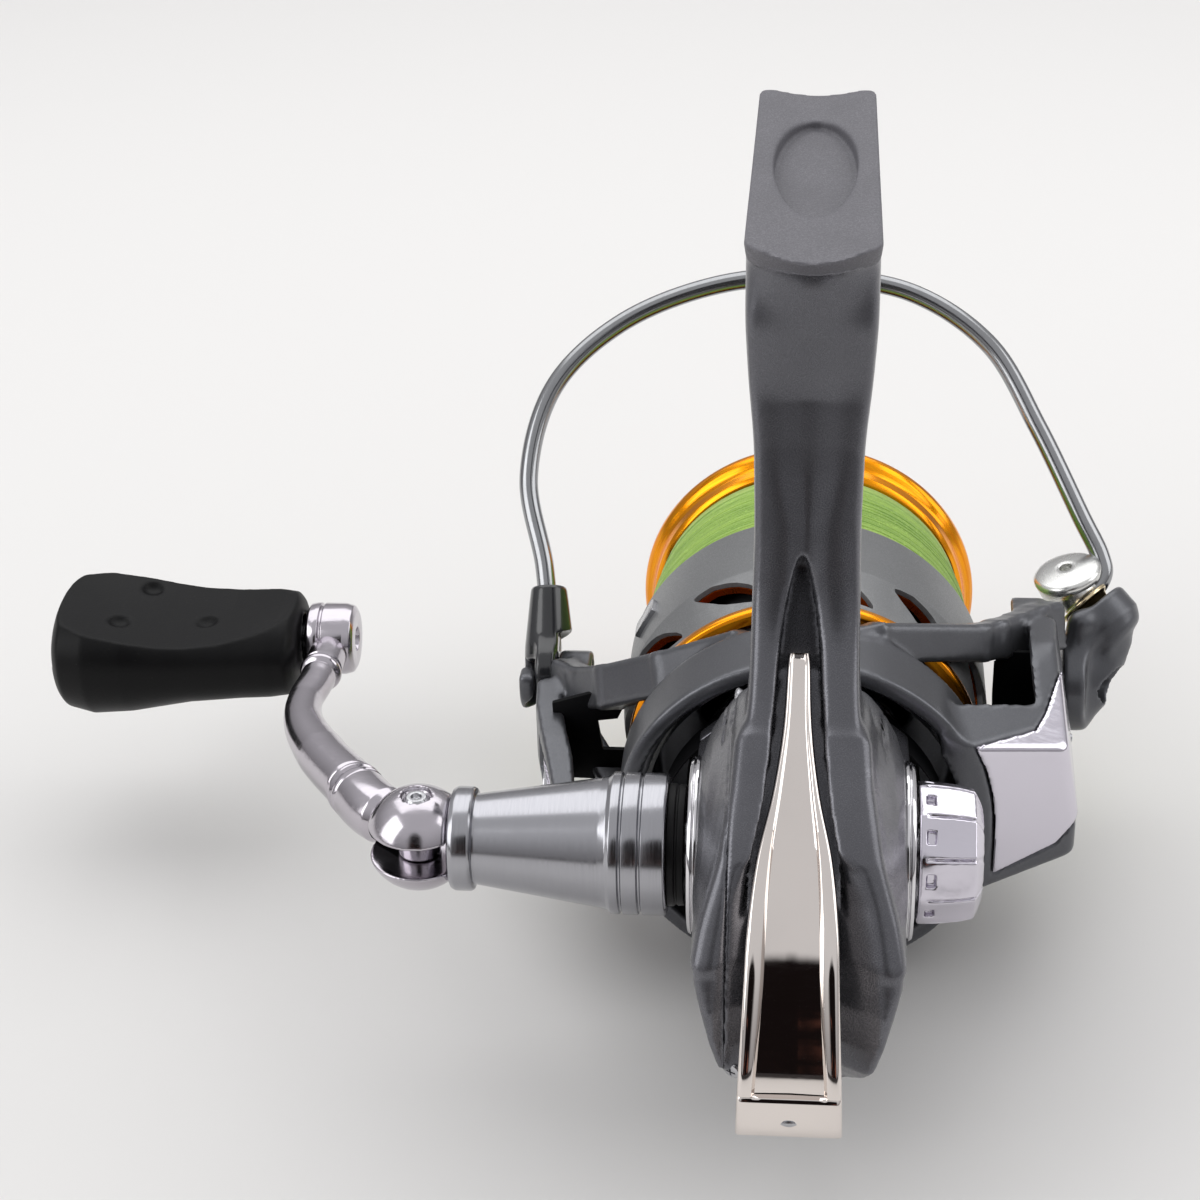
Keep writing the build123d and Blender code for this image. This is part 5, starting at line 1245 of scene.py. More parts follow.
@dataclass
class Guard:
    """Bright tongue down the back of the stem and the tail."""

    back: Line = ((-1.8, 34.4), (-8, 29.3), (-14, 24.7), (-20, 20.2),
        (-26, 15.6), (-29.6, 11.4), (-33, 5.4), (-34.5, 1.4), (-35.2, -4.2))
    stations: int = 120
    lip: float = 0.905
    lip_rise: float = 0.66
    half: tuple[float, ...] = (1.2, 1.55, 2.5, 4.0, 4.75, 4.95, 5.2, 5.38, 5.55)
    trough_half: tuple[float, ...] = (0.7, 0.95, 1.65, 2.55, 2.95, 3.1, 3.5, 3.75, 3.9)
    trough_depth: tuple[float, ...] = (0.12, 0.2, 0.32, 0.5, 0.62, 0.7, 0.75, 0.75, 0.75)
    shift_x: float = -0.6

    def sections(self) -> list[np.ndarray]:
        """Cross sections from the tip to the lower end.

        Returns:
            One array of points for each station.
        """
        tables = zip(self.back, self.half, self.trough_half, self.trough_depth)
        path = curve([(y, z, w, m, d) for (y, z), w, m, d in tables], self.stations)
        slopes = np.gradient(path[:, :2], axis=0)
        slopes /= np.linalg.norm(slopes, axis=1)[:, None]
        made = []
        total = len(path) - 1
        for i, (row, slope) in enumerate(zip(path, slopes)):
            y, z, w, m, d = row
            share = i / total
            if share > self.lip:
                d = 0.0
            out = np.array([slope[1], -slope[0]])
            out = out if out[0] < 0 else -out
            thick = np.interp(share, [0, 0.12, 0.5, 0.8, 1], [1, 1.6, 2.6, 3.9, 4])
            drop = 0.5 * max(0.0, (share - 0.965) / 0.035) ** 2 + 0.35 * max(0.0, 1 - share / 0.03) ** 2
            r = min(0.55, w * 0.35)
            edge = [(-w, -thick), (-w, -r)] + [(-w + r - r * math.cos(t), -r + r * math.sin(t))
                for t in np.linspace(0.25, math.pi / 2, 5)]
            wall = min(0.28, (w - m) * 0.3)
            rim = [(-m - wall, 0), (-m - wall * 0.45, -d * 0.12), (-m, -d * 0.6), (-m + wall * 0.7, -d)]
            floor = [(-m * f, -d - 0.1 * (1 - f) * min(d, 0.3) / 0.3) for f in (0.75, 0.5, 0.25)]
            left = edge + rim + floor
            points = left + [(0, -d - 0.1 * min(d, 0.3) / 0.3)] + [(-u, v) for u, v in left[::-1]]
            points = [(u + self.shift_x, v) for u, v in points]
            made.append(np.array([(u, y + out[0] * (v - drop), z + out[1] * (v - drop))
                for u, v in points]))
        return self._stepped(made)

    def _stepped(self, made: list[np.ndarray]) -> list[np.ndarray]:
        """Close up the two sections at the lip so that it stands square.

        Args:
            made: Cross sections.

        Returns:
            The sections with one more at the lip.
        """
        edge = int(self.lip * (len(made) - 1))
        low, high = made[edge], made[edge + 1]
        raised = high - self.lip_rise * (high.mean(axis=0) - low.mean(axis=0))
        return made[:edge + 1] + [raised] + made[edge + 1:]

    def build(self) -> None:
        """Form the guard in one piece."""
        Shop.piece("tail_guard", rings(self.sections()),
            Surfaces.GUARD, "housing", "chrome", ["rear_guard"], 40)


@dataclass
class Trim:
    """Bright rings around the side bosses."""

    near: float = 11.42
    radius: float = 10.15
    bore: float = 7.2

    def build(self) -> None:
        """Turn each ring as a double bead with a dark gap."""
        n = self.near
        profile = [(n, self.bore), (n, self.radius), (n + 0.42, self.radius),
            (n + 0.46, self.radius - 0.45), (n + 0.64, self.radius - 0.45),
            (n + 0.68, self.radius - 0.1), (n + 1.1, self.radius - 0.35), (n + 1.12, self.bore)]
        ring = turned(profile, Axis.X, (0, 7.5), 128, 0.12)
        Shop.piece("trim_ring_right", ring, Surfaces.CHROME, "housing", "chrome", ["trim_rings"])
        Shop.piece("trim_ring_left", ring.mirrored(), Surfaces.CHROME, "housing", "chrome", ["trim_rings"])


# ---- handle
def rounded_bar(g: Block, ends: Sequence[Point], radius: float) -> Space:
    """Distance from a round bar between two points.

    Args:
        g: Block of space.
        ends: Its two ends.
        radius: Its radius.

    Returns:
        The distance, negative inside.
    """
    a, b = np.array(ends[0], float), np.array(ends[1], float)
    run = b - a
    p = [g.x - a[0], g.y - a[1], g.z - a[2]]
    t = np.clip((p[0] * run[0] + p[1] * run[1] + p[2] * run[2]) / np.dot(run, run), 0, 1)
    return np.sqrt(sum((p[k] - run[k] * t) ** 2 for k in range(3))) - radius


@dataclass
class Handle:
    """Tapered sleeve, fold joint, arm and knob on the left, and the screw cap on the right."""

    axis: Flat = (0.0, 7.5)
    fork_radius: float = 6.1
    fork_neck: float = 4.4
    fork_slot: float = 3.9
    fork_face: float = -39.72
    fold_x: float = JOINTS["handle_fold"]["pos_m"][0] / MM
    knob_axis: Flat = (50.0, 3.6)
    crank: tuple[Point, ...] = ((-49.81, 5.9, 7.2), (-53.27, 11.26, 6.6), (-58.29, 19.19, 5.6),
        (-61.99, 26.92, 5), (-62.97, 32.78, 4.6), (-62.52, 38.17, 4.2),
        (-62.31, 45.13, 3.8), (-62.4, 49.4, 3.6))
    dimples: tuple[Flat, ...] = ((-87.4, 5.4), (-89.7, -3.7), (-78.9, -1.5))
    dimple_radius: float = 1.95
    bands: tuple[Point, ...] = ((6.6, -0.3, 0.3), (7.8, -0.3, 0.3),
        (9, -0.3, 0.3), (41.4, 0.3, 0.5), (40.5, -0.25, 0.26), (42.3, -0.25, 0.26))
    cap_facets: int = 10

    def sleeve(self) -> None:
        """Turn the sleeve with its collar, cone and grooved band."""
        start = -14.95
        line = [(start, 2), (start, 7.75), (start - 0.25, 8.05), (start - 2.75, 8.05), (start - 2.85, 7.7),
            (start - 3.1, 7.7), (start - 3.2, 8.05), (start - 4.9, 8.05), (start - 5, 7.7),
            (start - 5.25, 7.7), (start - 5.35, 8.05), (start - 6.3, 8.02), (start - 6.75, 7.62),
            (start - 7.6, 7.38), (-36.6, 5.2), (-36.85, 5.2), (-36.95, 5.75),
            (-37.3, 5.95), (-39, 5.95), (-39.5, 5.7), (-39.7, 5.2), (-39.7, 2)]
        form = turned(line, Axis.X, self.axis, 144, 0.1)
        Shop.piece("handle_sleeve_cone", form, Surfaces.SLEEVE, "drive", "alloy", ["handle_sleeve"], 26)
        seal = [(-14.9, 3.1), (-14.9, 6.95), (-14.1, 6.95), (-14, 6.7),
            (-13.8, 6.7), (-13.7, 6.9), (-13, 6.8), (-12.95, 3.1)]
        Shop.piece("sleeve_seal", turned(seal, Axis.X, self.axis, 96, 0.12),
            Surfaces.GASKET, "drive", "black_rubber", ["sleeve_gasket"])

    def fork(self) -> None:
        """Form the slotted ball and its pin."""
        x, z = self.fold_x, self.axis[1]
        g = Block((x - 6.6, -6.6, z - 6.6), (-39.4, 6.6, z + 6.6), 0.17)
        ball = np.sqrt((g.x - x) ** 2 + g.y**2 + (g.z - z) ** 2) - self.fork_radius
        neck = common(np.hypot(g.y, g.z - z) - self.fork_neck, slab(g.x, x + 1.0, self.fork_face))
        shape = common(join(ball, neck, 0.4), g.x - self.fork_face, 0.3)
        slot = common(np.abs(g.z - z) - self.fork_slot / 2, g.x - (x + 3.9), 0.2)
        shape = cut(shape, slot, 0.25)
        pin = np.hypot(g.x - x, g.y)
        shape = cut(shape, pin - 1.42)
        shape = cut(shape, common(pin - 1.75, (z + 5.2) - g.z), 0.1)
        Shop.piece("fold_fork", g.surface(shape), Surfaces.ARM, "drive", "chrome", ["handle_fork"], 50)
        head = z + 5.62
        line = [(z - 5.7, 0), (z - 5.7, 1.2), (z - 5.5, 1.4), (head - 0.5, 1.4),
            (head - 0.3, 1.38), (head, 1.1), (head, 0.62), (head - 0.45, 0.5), (head - 0.5, 0)]
        Shop.piece("fold_joint_pin", turned(line, Axis.Z, (x, 0), 48, 0.06),
            Surfaces.STEEL_X, "drive", "stainless", ["fold_pin"])

    def arm(self) -> None:
        """Form the knuckle with its tongue, the cranked tube with its rings, and the barrel at the knob."""
        x, z = self.fold_x, self.axis[1]
        start = np.array((x, 0, z))
        run = unit((-6.3, 5.9, -0.3))
        path = curve([start + run * 5.6, *(np.array(point) for point in self.crank)], 240)
        at = np.concatenate([[0], np.cumsum(np.linalg.norm(np.diff(path, axis=0), axis=1))])
        total = float(at[-1])
        size = np.interp(at, [0, 1, 8.6, 9.4, 19, 27.5, 33.4, 38.8, 40.4, 42.4, total],
            [3, 3.45, 3.45, 3.2, 3.05, 2.5, 2.2, 2.2, 2.3, 2.5, 2.4])
        for place, depth, wide in self.bands:
            size = size + depth * np.exp(-(((at - place) / wide) ** 4))
        form = tube(path, size, 56)
        knuckle = turned([(z - 1.85, 0), (z - 1.85, 2.5), (z + 1.85, 2.5), (z + 1.85, 0)],
            Axis.Z, (x, 0), 64, 0.3)
        side = unit(np.cross(run, (0, 0, 1)))
        corners = ((-1, -0.8), (-0.8, -1), (0.8, -1), (1, -0.8), (1, 0.8), (0.8, 1), (-0.8, 1), (-1, 0.8))
        tongue = []
        for d, w in ((0, 2.2), (3, 2.3), (5.2, 2.6), (6.4, 2.9)):
            spot = start + run * d
            tongue.append(np.array([spot + side * a * w + np.array((0, 0, b * 1.75)) for a, b in corners]))
            tongue[-1][:, 2] = np.clip(tongue[-1][:, 2], z - 1.8, z + 1.8)
        barrel = turned([(-65.6, 0), (-65.6, 3.9), (-65.2, 4.55), (-64.4, 4.7), (-63.9, 4.7), (-63.8, 4.35),
            (-63.5, 4.35), (-63.4, 4.7), (-60.6, 4.7), (-59.6, 4.4), (-59.2, 3.7),
            (-59.2, 1.6), (-60, 1.5), (-60, 0)], Axis.X, self.knob_axis, 80, 0.12)
        Shop.piece("crank_arm", form + barrel, Surfaces.ARM, "handle", "alloy", ["handle_arm"], 34)
        Shop.piece("arm_knuckle", knuckle, Surfaces.ARM, "handle", "alloy", ["handle_arm"], 34)
        # Painted shade: the tongue is dead black, standing in for the shade in the fork's slot.
        Shop.piece("arm_tongue", rings(tongue), Surfaces.SHADE_BLACK, "handle", "alloy", ["handle_arm"], 34)

    def knob(self) -> None:
        """Mould the knob with its scooped pad and three dimples."""
        oy, oz = self.knob_axis
        g = Block((-99.6, oy - 12.4, oz - 10.8), (-65.4, oy + 9.8, oz + 8), 0.3)
        wide = along(((-99.2, 5.2), (-98.6, 6.9), (-96.8, 8.4), (-93.5, 9.25), (-88.5, 9.1),
            (-80.5, 8.2), (-74, 7.4), (-70, 7.1), (-67.4, 6.7), (-66.4, 5.7), (-65.9, 4.6)), g.x)
        thick = along(((-99.2, 4.4), (-98.6, 5.8), (-96.8, 7.2), (-93.5, 8), (-88.5, 7.6),
            (-80.5, 6.1), (-74, 5.9), (-70, 5.9), (-67.4, 5.6), (-66.4, 4.9), (-65.9, 4)), g.x)
        v, w = g.y - oy, g.z - oz
        wide = wide + np.where(v < 0, 2.4, 0.0)
        thick = thick + np.where(w < 0, along(((-96, 1.7), (-80, 1.4), (-68, 0.8)), g.x), 0.0)
        power = 2.25
        ring = (np.abs(v / wide) ** power + np.abs(w / thick) ** power) ** (1 / power)
        body = (ring - 1) * np.minimum(wide, thick)
        body = common(body, slab(g.x, -98.3, -66.0), 1.6)
        pad_line = ((-99, 5.8), (-96, 5.2), (-92, 4.4), (-88.5, 3.8),
            (-84, 3.1), (-80.5, 2.9), (-76, 3.2), (-72, 4), (-69, 4.8), (-66, 5.8))
        pad = w - along(pad_line, g.x) - 0.006 * v * v
        body = common(body, pad, 0.22)
        for u, cross in self.dimples:
            top = float(along(pad_line, np.array(u))) + 0.006 * cross * cross
            dent = np.sqrt((g.x - u) ** 2 + (v - cross) ** 2 + (w - top - 1.2) ** 2) - self.dimple_radius
            body = cut(body, dent, 0.25)
        r = np.hypot(v, w)
        seats = join(slab(g.x, -92.9, -89.8), slab(g.x, -69.2, -64.0))
        bore = join(common(r - 3.25, seats), common(r - 1.95, -94.6 - g.x))
        bore = join(bore, common(r - 2.9, slab(g.x, -94.6, -91.0)))
        Shop.piece("knob_paddle", g.surface(cut(body, bore)),
            Surfaces.RUBBER, "knob", "black_rubber", ["knob_grip"], 60)

    def cap(self) -> None:
        """Form the faceted screw cap."""
        oz = self.axis[1]
        g = Block((12.6, -9, oz - 9), (20.6, 9, oz + 9), 0.16)
        angle = np.arctan2(g.z - oz, g.y)
        pitch = 2 * math.pi / self.cap_facets
        folded = (angle + math.radians(11) + pitch / 2) % pitch - pitch / 2
        r = np.hypot(g.y, g.z - oz)
        flat = r * np.cos(folded)
        size = along(((12.9, 8), (13.6, 8.05), (17.5, 7.55), (19.2, 7.2), (20.4, 5)), g.x)
        rise = along(((12.9, 0), (14.4, 0), (14.6, 0.35), (18.4, 0.35), (18.8, 0.1), (20, 0)), g.x)
        shape = flat - size * 0.985 + 0.12 * np.cos(folded / pitch * 2 * math.pi) * rise
        edge = np.abs(np.abs(r * np.sin(folded)) - size * math.tan(pitch / 2) * 0.97)
        groove = common(edge - 0.17, common(size - 0.55 - flat, 13.9 - g.x), 0.08)
        shape = cut(shape, groove, 0.1)
        side = common(np.abs(r * np.sin(folded)) - 0.75, common(slab(g.x, 13.75, 14.75), size - 0.9 - flat))
        shape = cut(shape, side, 0.1)
        shape = common(shape, r - 8.15, 0.3)
        shape = common(shape, g.x - 20.2, 0.8)
        shape = common(shape, 12.92 - g.x, 0.3)
        dish = common(r - 4.6, 19.5 - g.x, 0.3)
        shape = cut(shape, dish, 0.4)
        shape = join(shape, common(r - 3.0, slab(g.x, 18.0, 19.9)), 0.5)
        shape = cut(shape, common(r - 1.95, g.x - 18.2))
        Shop.piece("screw_cap", g.surface(shape), Surfaces.LILAC, "cap", "chrome", ["handle_cap"], 50)

    def build(self) -> None:
        """Build the handle."""
        self.sleeve()
        self.fork()
        self.arm()
        self.knob()
        self.cap()


# ---- rotor
PIVOT_Y = 49.0


@dataclass
class Rotor:
    """Rotor cup with its two arms, their bright covers, and the trip parts of the bail."""

    step: float = 0.45
    cup_bores: tuple[tuple[float, ...], ...] = ((20.3, 18.6, 1, 0, 0.35),
        (18.98, 30.02, 1, 0, 0.1), (18.4, 31, 1, 0.6, 0.3), (17.85, 34, -1, 0.6, 0.3))
    spring_turns: float = 7.4
    coil_radius: float = 0.62
    hole_reach: float = 12.0
    hole_radius: float = 2.4
    lock_x: float = 8.4
    rear_x: float = 23.6
    rear_y: float = 16.4
    rear_slope: float = 0.392
    cup_line: Line = ((15.6, 22.3), (24.5, 22.3), (27.5, 19.6), (44, 19.4))
    right_line: Line = ((16, 32.8), (20, 32.9), (36, 33.3), (42.6, 33.6), (43.8, 32.5), (56, 32.5))
    left_line: Line = ((16, 29.6), (22, 30.7), (26, 31.6),
        (33, 33.3), (38, 34.3), (42.6, 34.6), (43.7, 32.3), (56, 32.3))
    depth_line: Line = ((20, 2.7), (28, 3.4), (40, 3.4), (44, 4.4), (56, 4.4))
    right_side: Line = ((13, -13.5), (22, -11.5), (32, -9.4), (45, -5.6), (50, -5.6), (53.4, -3.6),
        (54.6, 0), (53.8, 3.6), (52.3, 6.2), (50.8, 11.7), (44.5, 13.1), (35, 14.4), (13, 14.4))
    left_side: Line = ((13, -13.5), (22, -11.5), (32, -9.4), (45, -5.6), (49, -4.4), (51.4, -1.8),
        (51.9, 0), (51.2, 1.9), (49.4, 2.8), (45, 2.6), (42, 2.6), (31, 1.6), (23, 0.4), (13, -1))
    gap: Line = ((16, 21), (21.5, 26.5), (24.6, 32), (25.6, 37.5), (29, 42.5), (29.6, 60), (16, 60))
    cover_edge: Line = ((19.9, 11.75), (19.9, 22), (36, 22), (36, 2.4), (32.9, -1.4),
        (30.5, -4.2), (22.9, -6.9), (22.85, -2), (22.7, 1.5), (22.2, 5), (21.3, 8.5))
    cover_depth: Line = ((19.4, 0.15), (20.4, 0.5), (27.3, 2.8), (28.6, 5.2), (30.8, 12), (32, 18))

    def walls(self, g: Block, side: int) -> tuple[Space, Space, Space]:
        """Outside, ends and room of an arm.

        Args:
            g: Block of space.
            side: 1 for the right arm, -1 for the left.

        Returns:
            The solid outline of the arm, its outer faces alone, and the room inside it.
        """
        u = g.x * side
        rear = (self.rear_y + self.rear_slope * (u - self.rear_x) - g.y) * 0.93
        lean = 0.16 * np.maximum(-6.0 - g.z, 0)
        lean = lean + (0.175 * np.maximum(g.z + 1.4, 0) if side > 0 else 0.16 * np.maximum(g.z - 8.0, 0))
        outer = u - along(self.right_line if side > 0 else self.left_line, g.y) + lean
        tilt = 0.318 * u - 0.289 * g.y
        rise = 0.902 * g.z
        top = tilt + rise - (12.55 if side > 0 else 4.0)
        low = tilt - rise - 10.4
        faces = common(common(common(rear, outer, 1.2), top, 0.7), low, 0.7)
        outline = plate(self.right_side if side > 0 else self.left_side, g.y, g.z)
        solid = common(common(faces, outline, 0.6), 16.0 - u)
        deep = np.interp(g.z, (5, 10), (3.4, 6.4)) if side > 0 else 3.4
        room = common(rear + deep, outer + along(self.depth_line, g.y), 1.2)
        room = common(room, join(tilt - rise - 7.4, plate(self.gap, u, g.y)), 0.6)
        return solid, faces, room

    def cover_zone(self, g: Block, side: int) -> Space:
        """Part of the arm's faces that its bright cover takes.

        Args:
            g: Block of space.
            side: 1 for the right arm, -1 for the left.

        Returns:
            The distance, negative inside.
        """
        u = g.x * side
        zone = plate(self.cover_edge, u, g.z)
        if side < 0:
            zone = common(zone, g.z + 1.4)
        depth = g.y - self.rear_y - self.rear_slope * (u - self.rear_x)
        upper = common(zone, (depth - along(self.cover_depth, u)) * 0.75)
        zone = np.where(g.z > 6.0, upper, zone)
        front = g.y - 38.6 + 0.75 * np.maximum(g.z - 4.0, 0) + 0.12 * np.maximum(-g.z, 0)
        return common(zone, front * 0.8, 0.5)

    def cup(self, g: Block) -> Space:
        """Cup with its thick rear ring, its web and its hub.

        Args:
            g: Block of space.

        Returns:
            The distance, negative inside.
        """
        r = np.hypot(g.x, g.z)
        shape = common(r - along(self.cup_line, g.y), slab(g.y, 15.6, 44.0), 0.5)
        for radius, end, side, soft, blend in self.cup_bores:
            shape = cut(shape, common(r - radius, side * (g.y - end), soft), blend)
        hub = common(r - 6.4, slab(g.y, 30.2, 35.6), 0.3)
        shape = join(shape, hub, 0.5)
        shape = cut(shape, r - 3.08)
        web = slab(g.y, 28, 36)
        for k in range(3):
            turn = math.radians(30 + 120 * k)
            x, z = self.hole_reach * math.cos(turn), self.hole_reach * math.sin(turn)
            shape = cut(shape, common(np.hypot(g.x - x, g.z - z) - self.hole_radius, web), 0.3)
        screw = np.hypot(g.x - self.lock_x, g.z)
        seat = common(screw - 1.95, 33.98 - g.y)
        return cut(cut(shape, seat), common(screw - 0.85, web))

    def beams(self, g: Block) -> Space:
        """Beams from the cup to the ears.

        Args:
            g: Block of space.

        Returns:
            The distance, negative inside.
        """
        up = (0.0, 0.5, 0.87)
        down = (0.0, 0.5, -0.87)
        lower = [(3, 23.4, -21, 2.4, 1.6), (8, 25.6, -20.2, 2.4, 1.7), (17, 30, -15.2, 2.4, 1.8),
            (24.5, 36, -8.7, 2.4, 1.8), (31.6, 45.5, -2.6, 2.4, 1.8)]
        rows = [
            ([(3, 23.4, 19.6, 2.3, 1.6), (8.5, 26, 19.2, 2.35, 1.7), (21, 35.7, 13.7, 2.3, 1.7),
                (23.4, 38.2, 12.8, 2.4, 1.7), (26, 41.6, 11.5, 2.6, 1.6), (29.2, 45.2, 10.3, 2.9, 1.6),
                (31.4, 47.6, 9.4, 3.1, 1.5)], up),
            ([(-3, 23.4, 18, 2.6, 1.6), (-8, 25.6, 17.4, 2.8, 1.7), (-17, 30, 11.6, 2.8, 1.8),
                (-24.5, 36, 5.8, 2.8, 1.9), (-28.6, 41, 2.4, 2.7, 1.9),
                (-31.4, 45.5, 1.2, 2.4, 1.9)], up),
            (lower, down),
            ([(-x, *rest) for x, *rest in lower], down)]
        return united((bar(g, line, wide, 0.7) for line, wide in rows), 0.5)

    def build(self) -> None:
        """Cast the rotor, form the covers and add the trip parts."""
        g = Block((-35.4, 15, -23.2), (35.4, 55.6, 23.2), self.step)
        r = np.hypot(g.x, g.z)
        shape = join(self.cup(g), cut(self.beams(g), r - 18.9), 1.0)
        for side, name in ((1, "arm_cover_right"), (-1, "arm_cover_left")):
            solid, faces, room = self.walls(g, side)
            arm = cut(cut(solid, room, 0.6), common(r - 19.0, g.y - 44.0))
            shape = join(shape, arm, 0.7)
            u = g.x * side
            zone = self.cover_zone(g, side)
            shape = cut(shape, common(common(zone - 0.1, -(faces + 0.75)), 17.5 - u), 0.2)
            shape = cut(shape, common(common(slab(u, 30.6, 34.0), slab(g.y, 25.0, 35.0)),
                np.abs(g.z - (0.4 if side > 0 else -3.4)) - 2.4))
            shape = cut(shape, common(common(np.hypot(g.y - PIVOT_Y, g.z) - 1.6, 28.0 - u), u - 36.0))
            low = (17.2, 14.8, -8.4) if side > 0 else (-35.2, 14.8, -13.0)
            high = (35.2, 40.4, 15.6) if side > 0 else (-17.2, 40.4, 2.0)
            h = Block(low, high, 0.24)
            _, faces, _ = self.walls(h, side)
            v = h.x * side
            area = self.cover_zone(h, side)
            skin = common(common(faces - 0.22, -(faces + 0.65)), area + 0.05, 0.3)
            skin = cut(skin, common(np.hypot(h.y - 36.0, h.z) - 1.5, 31.0 - v), 0.1)
            Shop.piece(name, h.surface(skin), Surfaces.LILAC, "rotor", "chrome", ["arm_covers"], 36)
        Shop.piece("rotor_cup_and_arms", g.surface(shape),
            Surfaces.ROTOR, "rotor", "rotor_paint", ["rotor"], 50)
        self.small_parts()

    def small_parts(self) -> None:
        """Make the cover screws, the dead black panels that paint the shade inside the arms, the glossy
        black cup ring that is partly painted shade, the spring and the trip lever.
        """
        screw = [(33.4, 0), (33.4, 0.5), (33.1, 0.55), (33.05, 1.35),
            (32.6, 1.45), (32.3, 1.4), (32.2, 0.8), (30.8, 0.8), (30.8, 0)]
        one = turned(screw, Axis.X, (36, 0), 40, 0.08)
        Shop.piece("cover_screws", one + one.mirrored(),
            Surfaces.STEEL_X, "rotor", "stainless", ["arm_cover_screws"])
        # Painted shade: dead black panels inside both arms stand in for the shade there.
        right = [(23.3, 5), (23.3, 9.6), (25, 11.4), (30.4, 11.4),
            (31, 8), (31.4, -5), (24.6, -6.6), (23.6, -2)]
        left = [(-31.6, -7.8), (-31.9, 3.4), (-24, 6), (-22.6, 3.6),
            (-23.6, 1.4), (-26.2, 1), (-25.6, -3.4), (-22.6, -3.4), (-22.6, -8)]
        panels = prism(right, 37.5, 38.2, Axis.Y, 0.1)
        panels = panels + prism(left, 35.6, 36.3, Axis.Y, 0.1)
        Shop.piece("arm_painted_shade_panels", panels, Surfaces.SHADE_BLACK, "rotor", "rotor_paint", ["rotor"], 40)
        turns = np.linspace(0, 1, 260)
        angle = turns * 2 * np.pi * self.spring_turns
        coil = np.stack([31.75 + self.coil_radius * np.cos(angle),
            25.7 + turns * 8.6, 1 + self.coil_radius * np.sin(angle)], axis=1)
        Shop.piece("trip_spring", tube(coil, 0.2, 12),
            Surfaces.STEEL, "rotor", "stainless", ["bail_spring"])
        lever = prism([(25.4, -4.8), (26, -5.2), (32, -5.2), (32.6, -4.8),
            (32.6, -2.2), (32, -1.6), (26, -1.6), (25.4, -2.2)], -32.3, -31.2, Axis.X, 0.2)
        # A ring lining the cup; its glossy black is partly painted shade of the cup's dark inside.
        line = [(18.7, 20.28), (18.7, 18.7), (23.4, 18.7), (23.6, 18.42),
            (24.1, 18.42), (24.3, 18.7), (30, 18.7), (30, 19), (19.6, 19), (19.3, 20.28)]
        Shop.piece("cup_ring_and_painted_shade", turned(line, Axis.Y, (0, 0), 160, 0.06),
            Surfaces.GLOSS_BLACK, "rotor", "rotor_paint", ["rotor"])
        Shop.piece("trip_lever", lever, Surfaces.STEEL, "kick", "stainless", ["kick_lever"])


# ---- bail
SLOPE = math.radians(50)


def on_bail(x: float, reach: float, off: float = 0.0) -> np.ndarray:
    """Point of the bail's plane, so far from the pivot and so far off the plane."""
    return np.array((x, PIVOT_Y + reach * math.cos(SLOPE) - off * math.sin(SLOPE),
        reach * math.sin(SLOPE) + off * math.cos(SLOPE)))


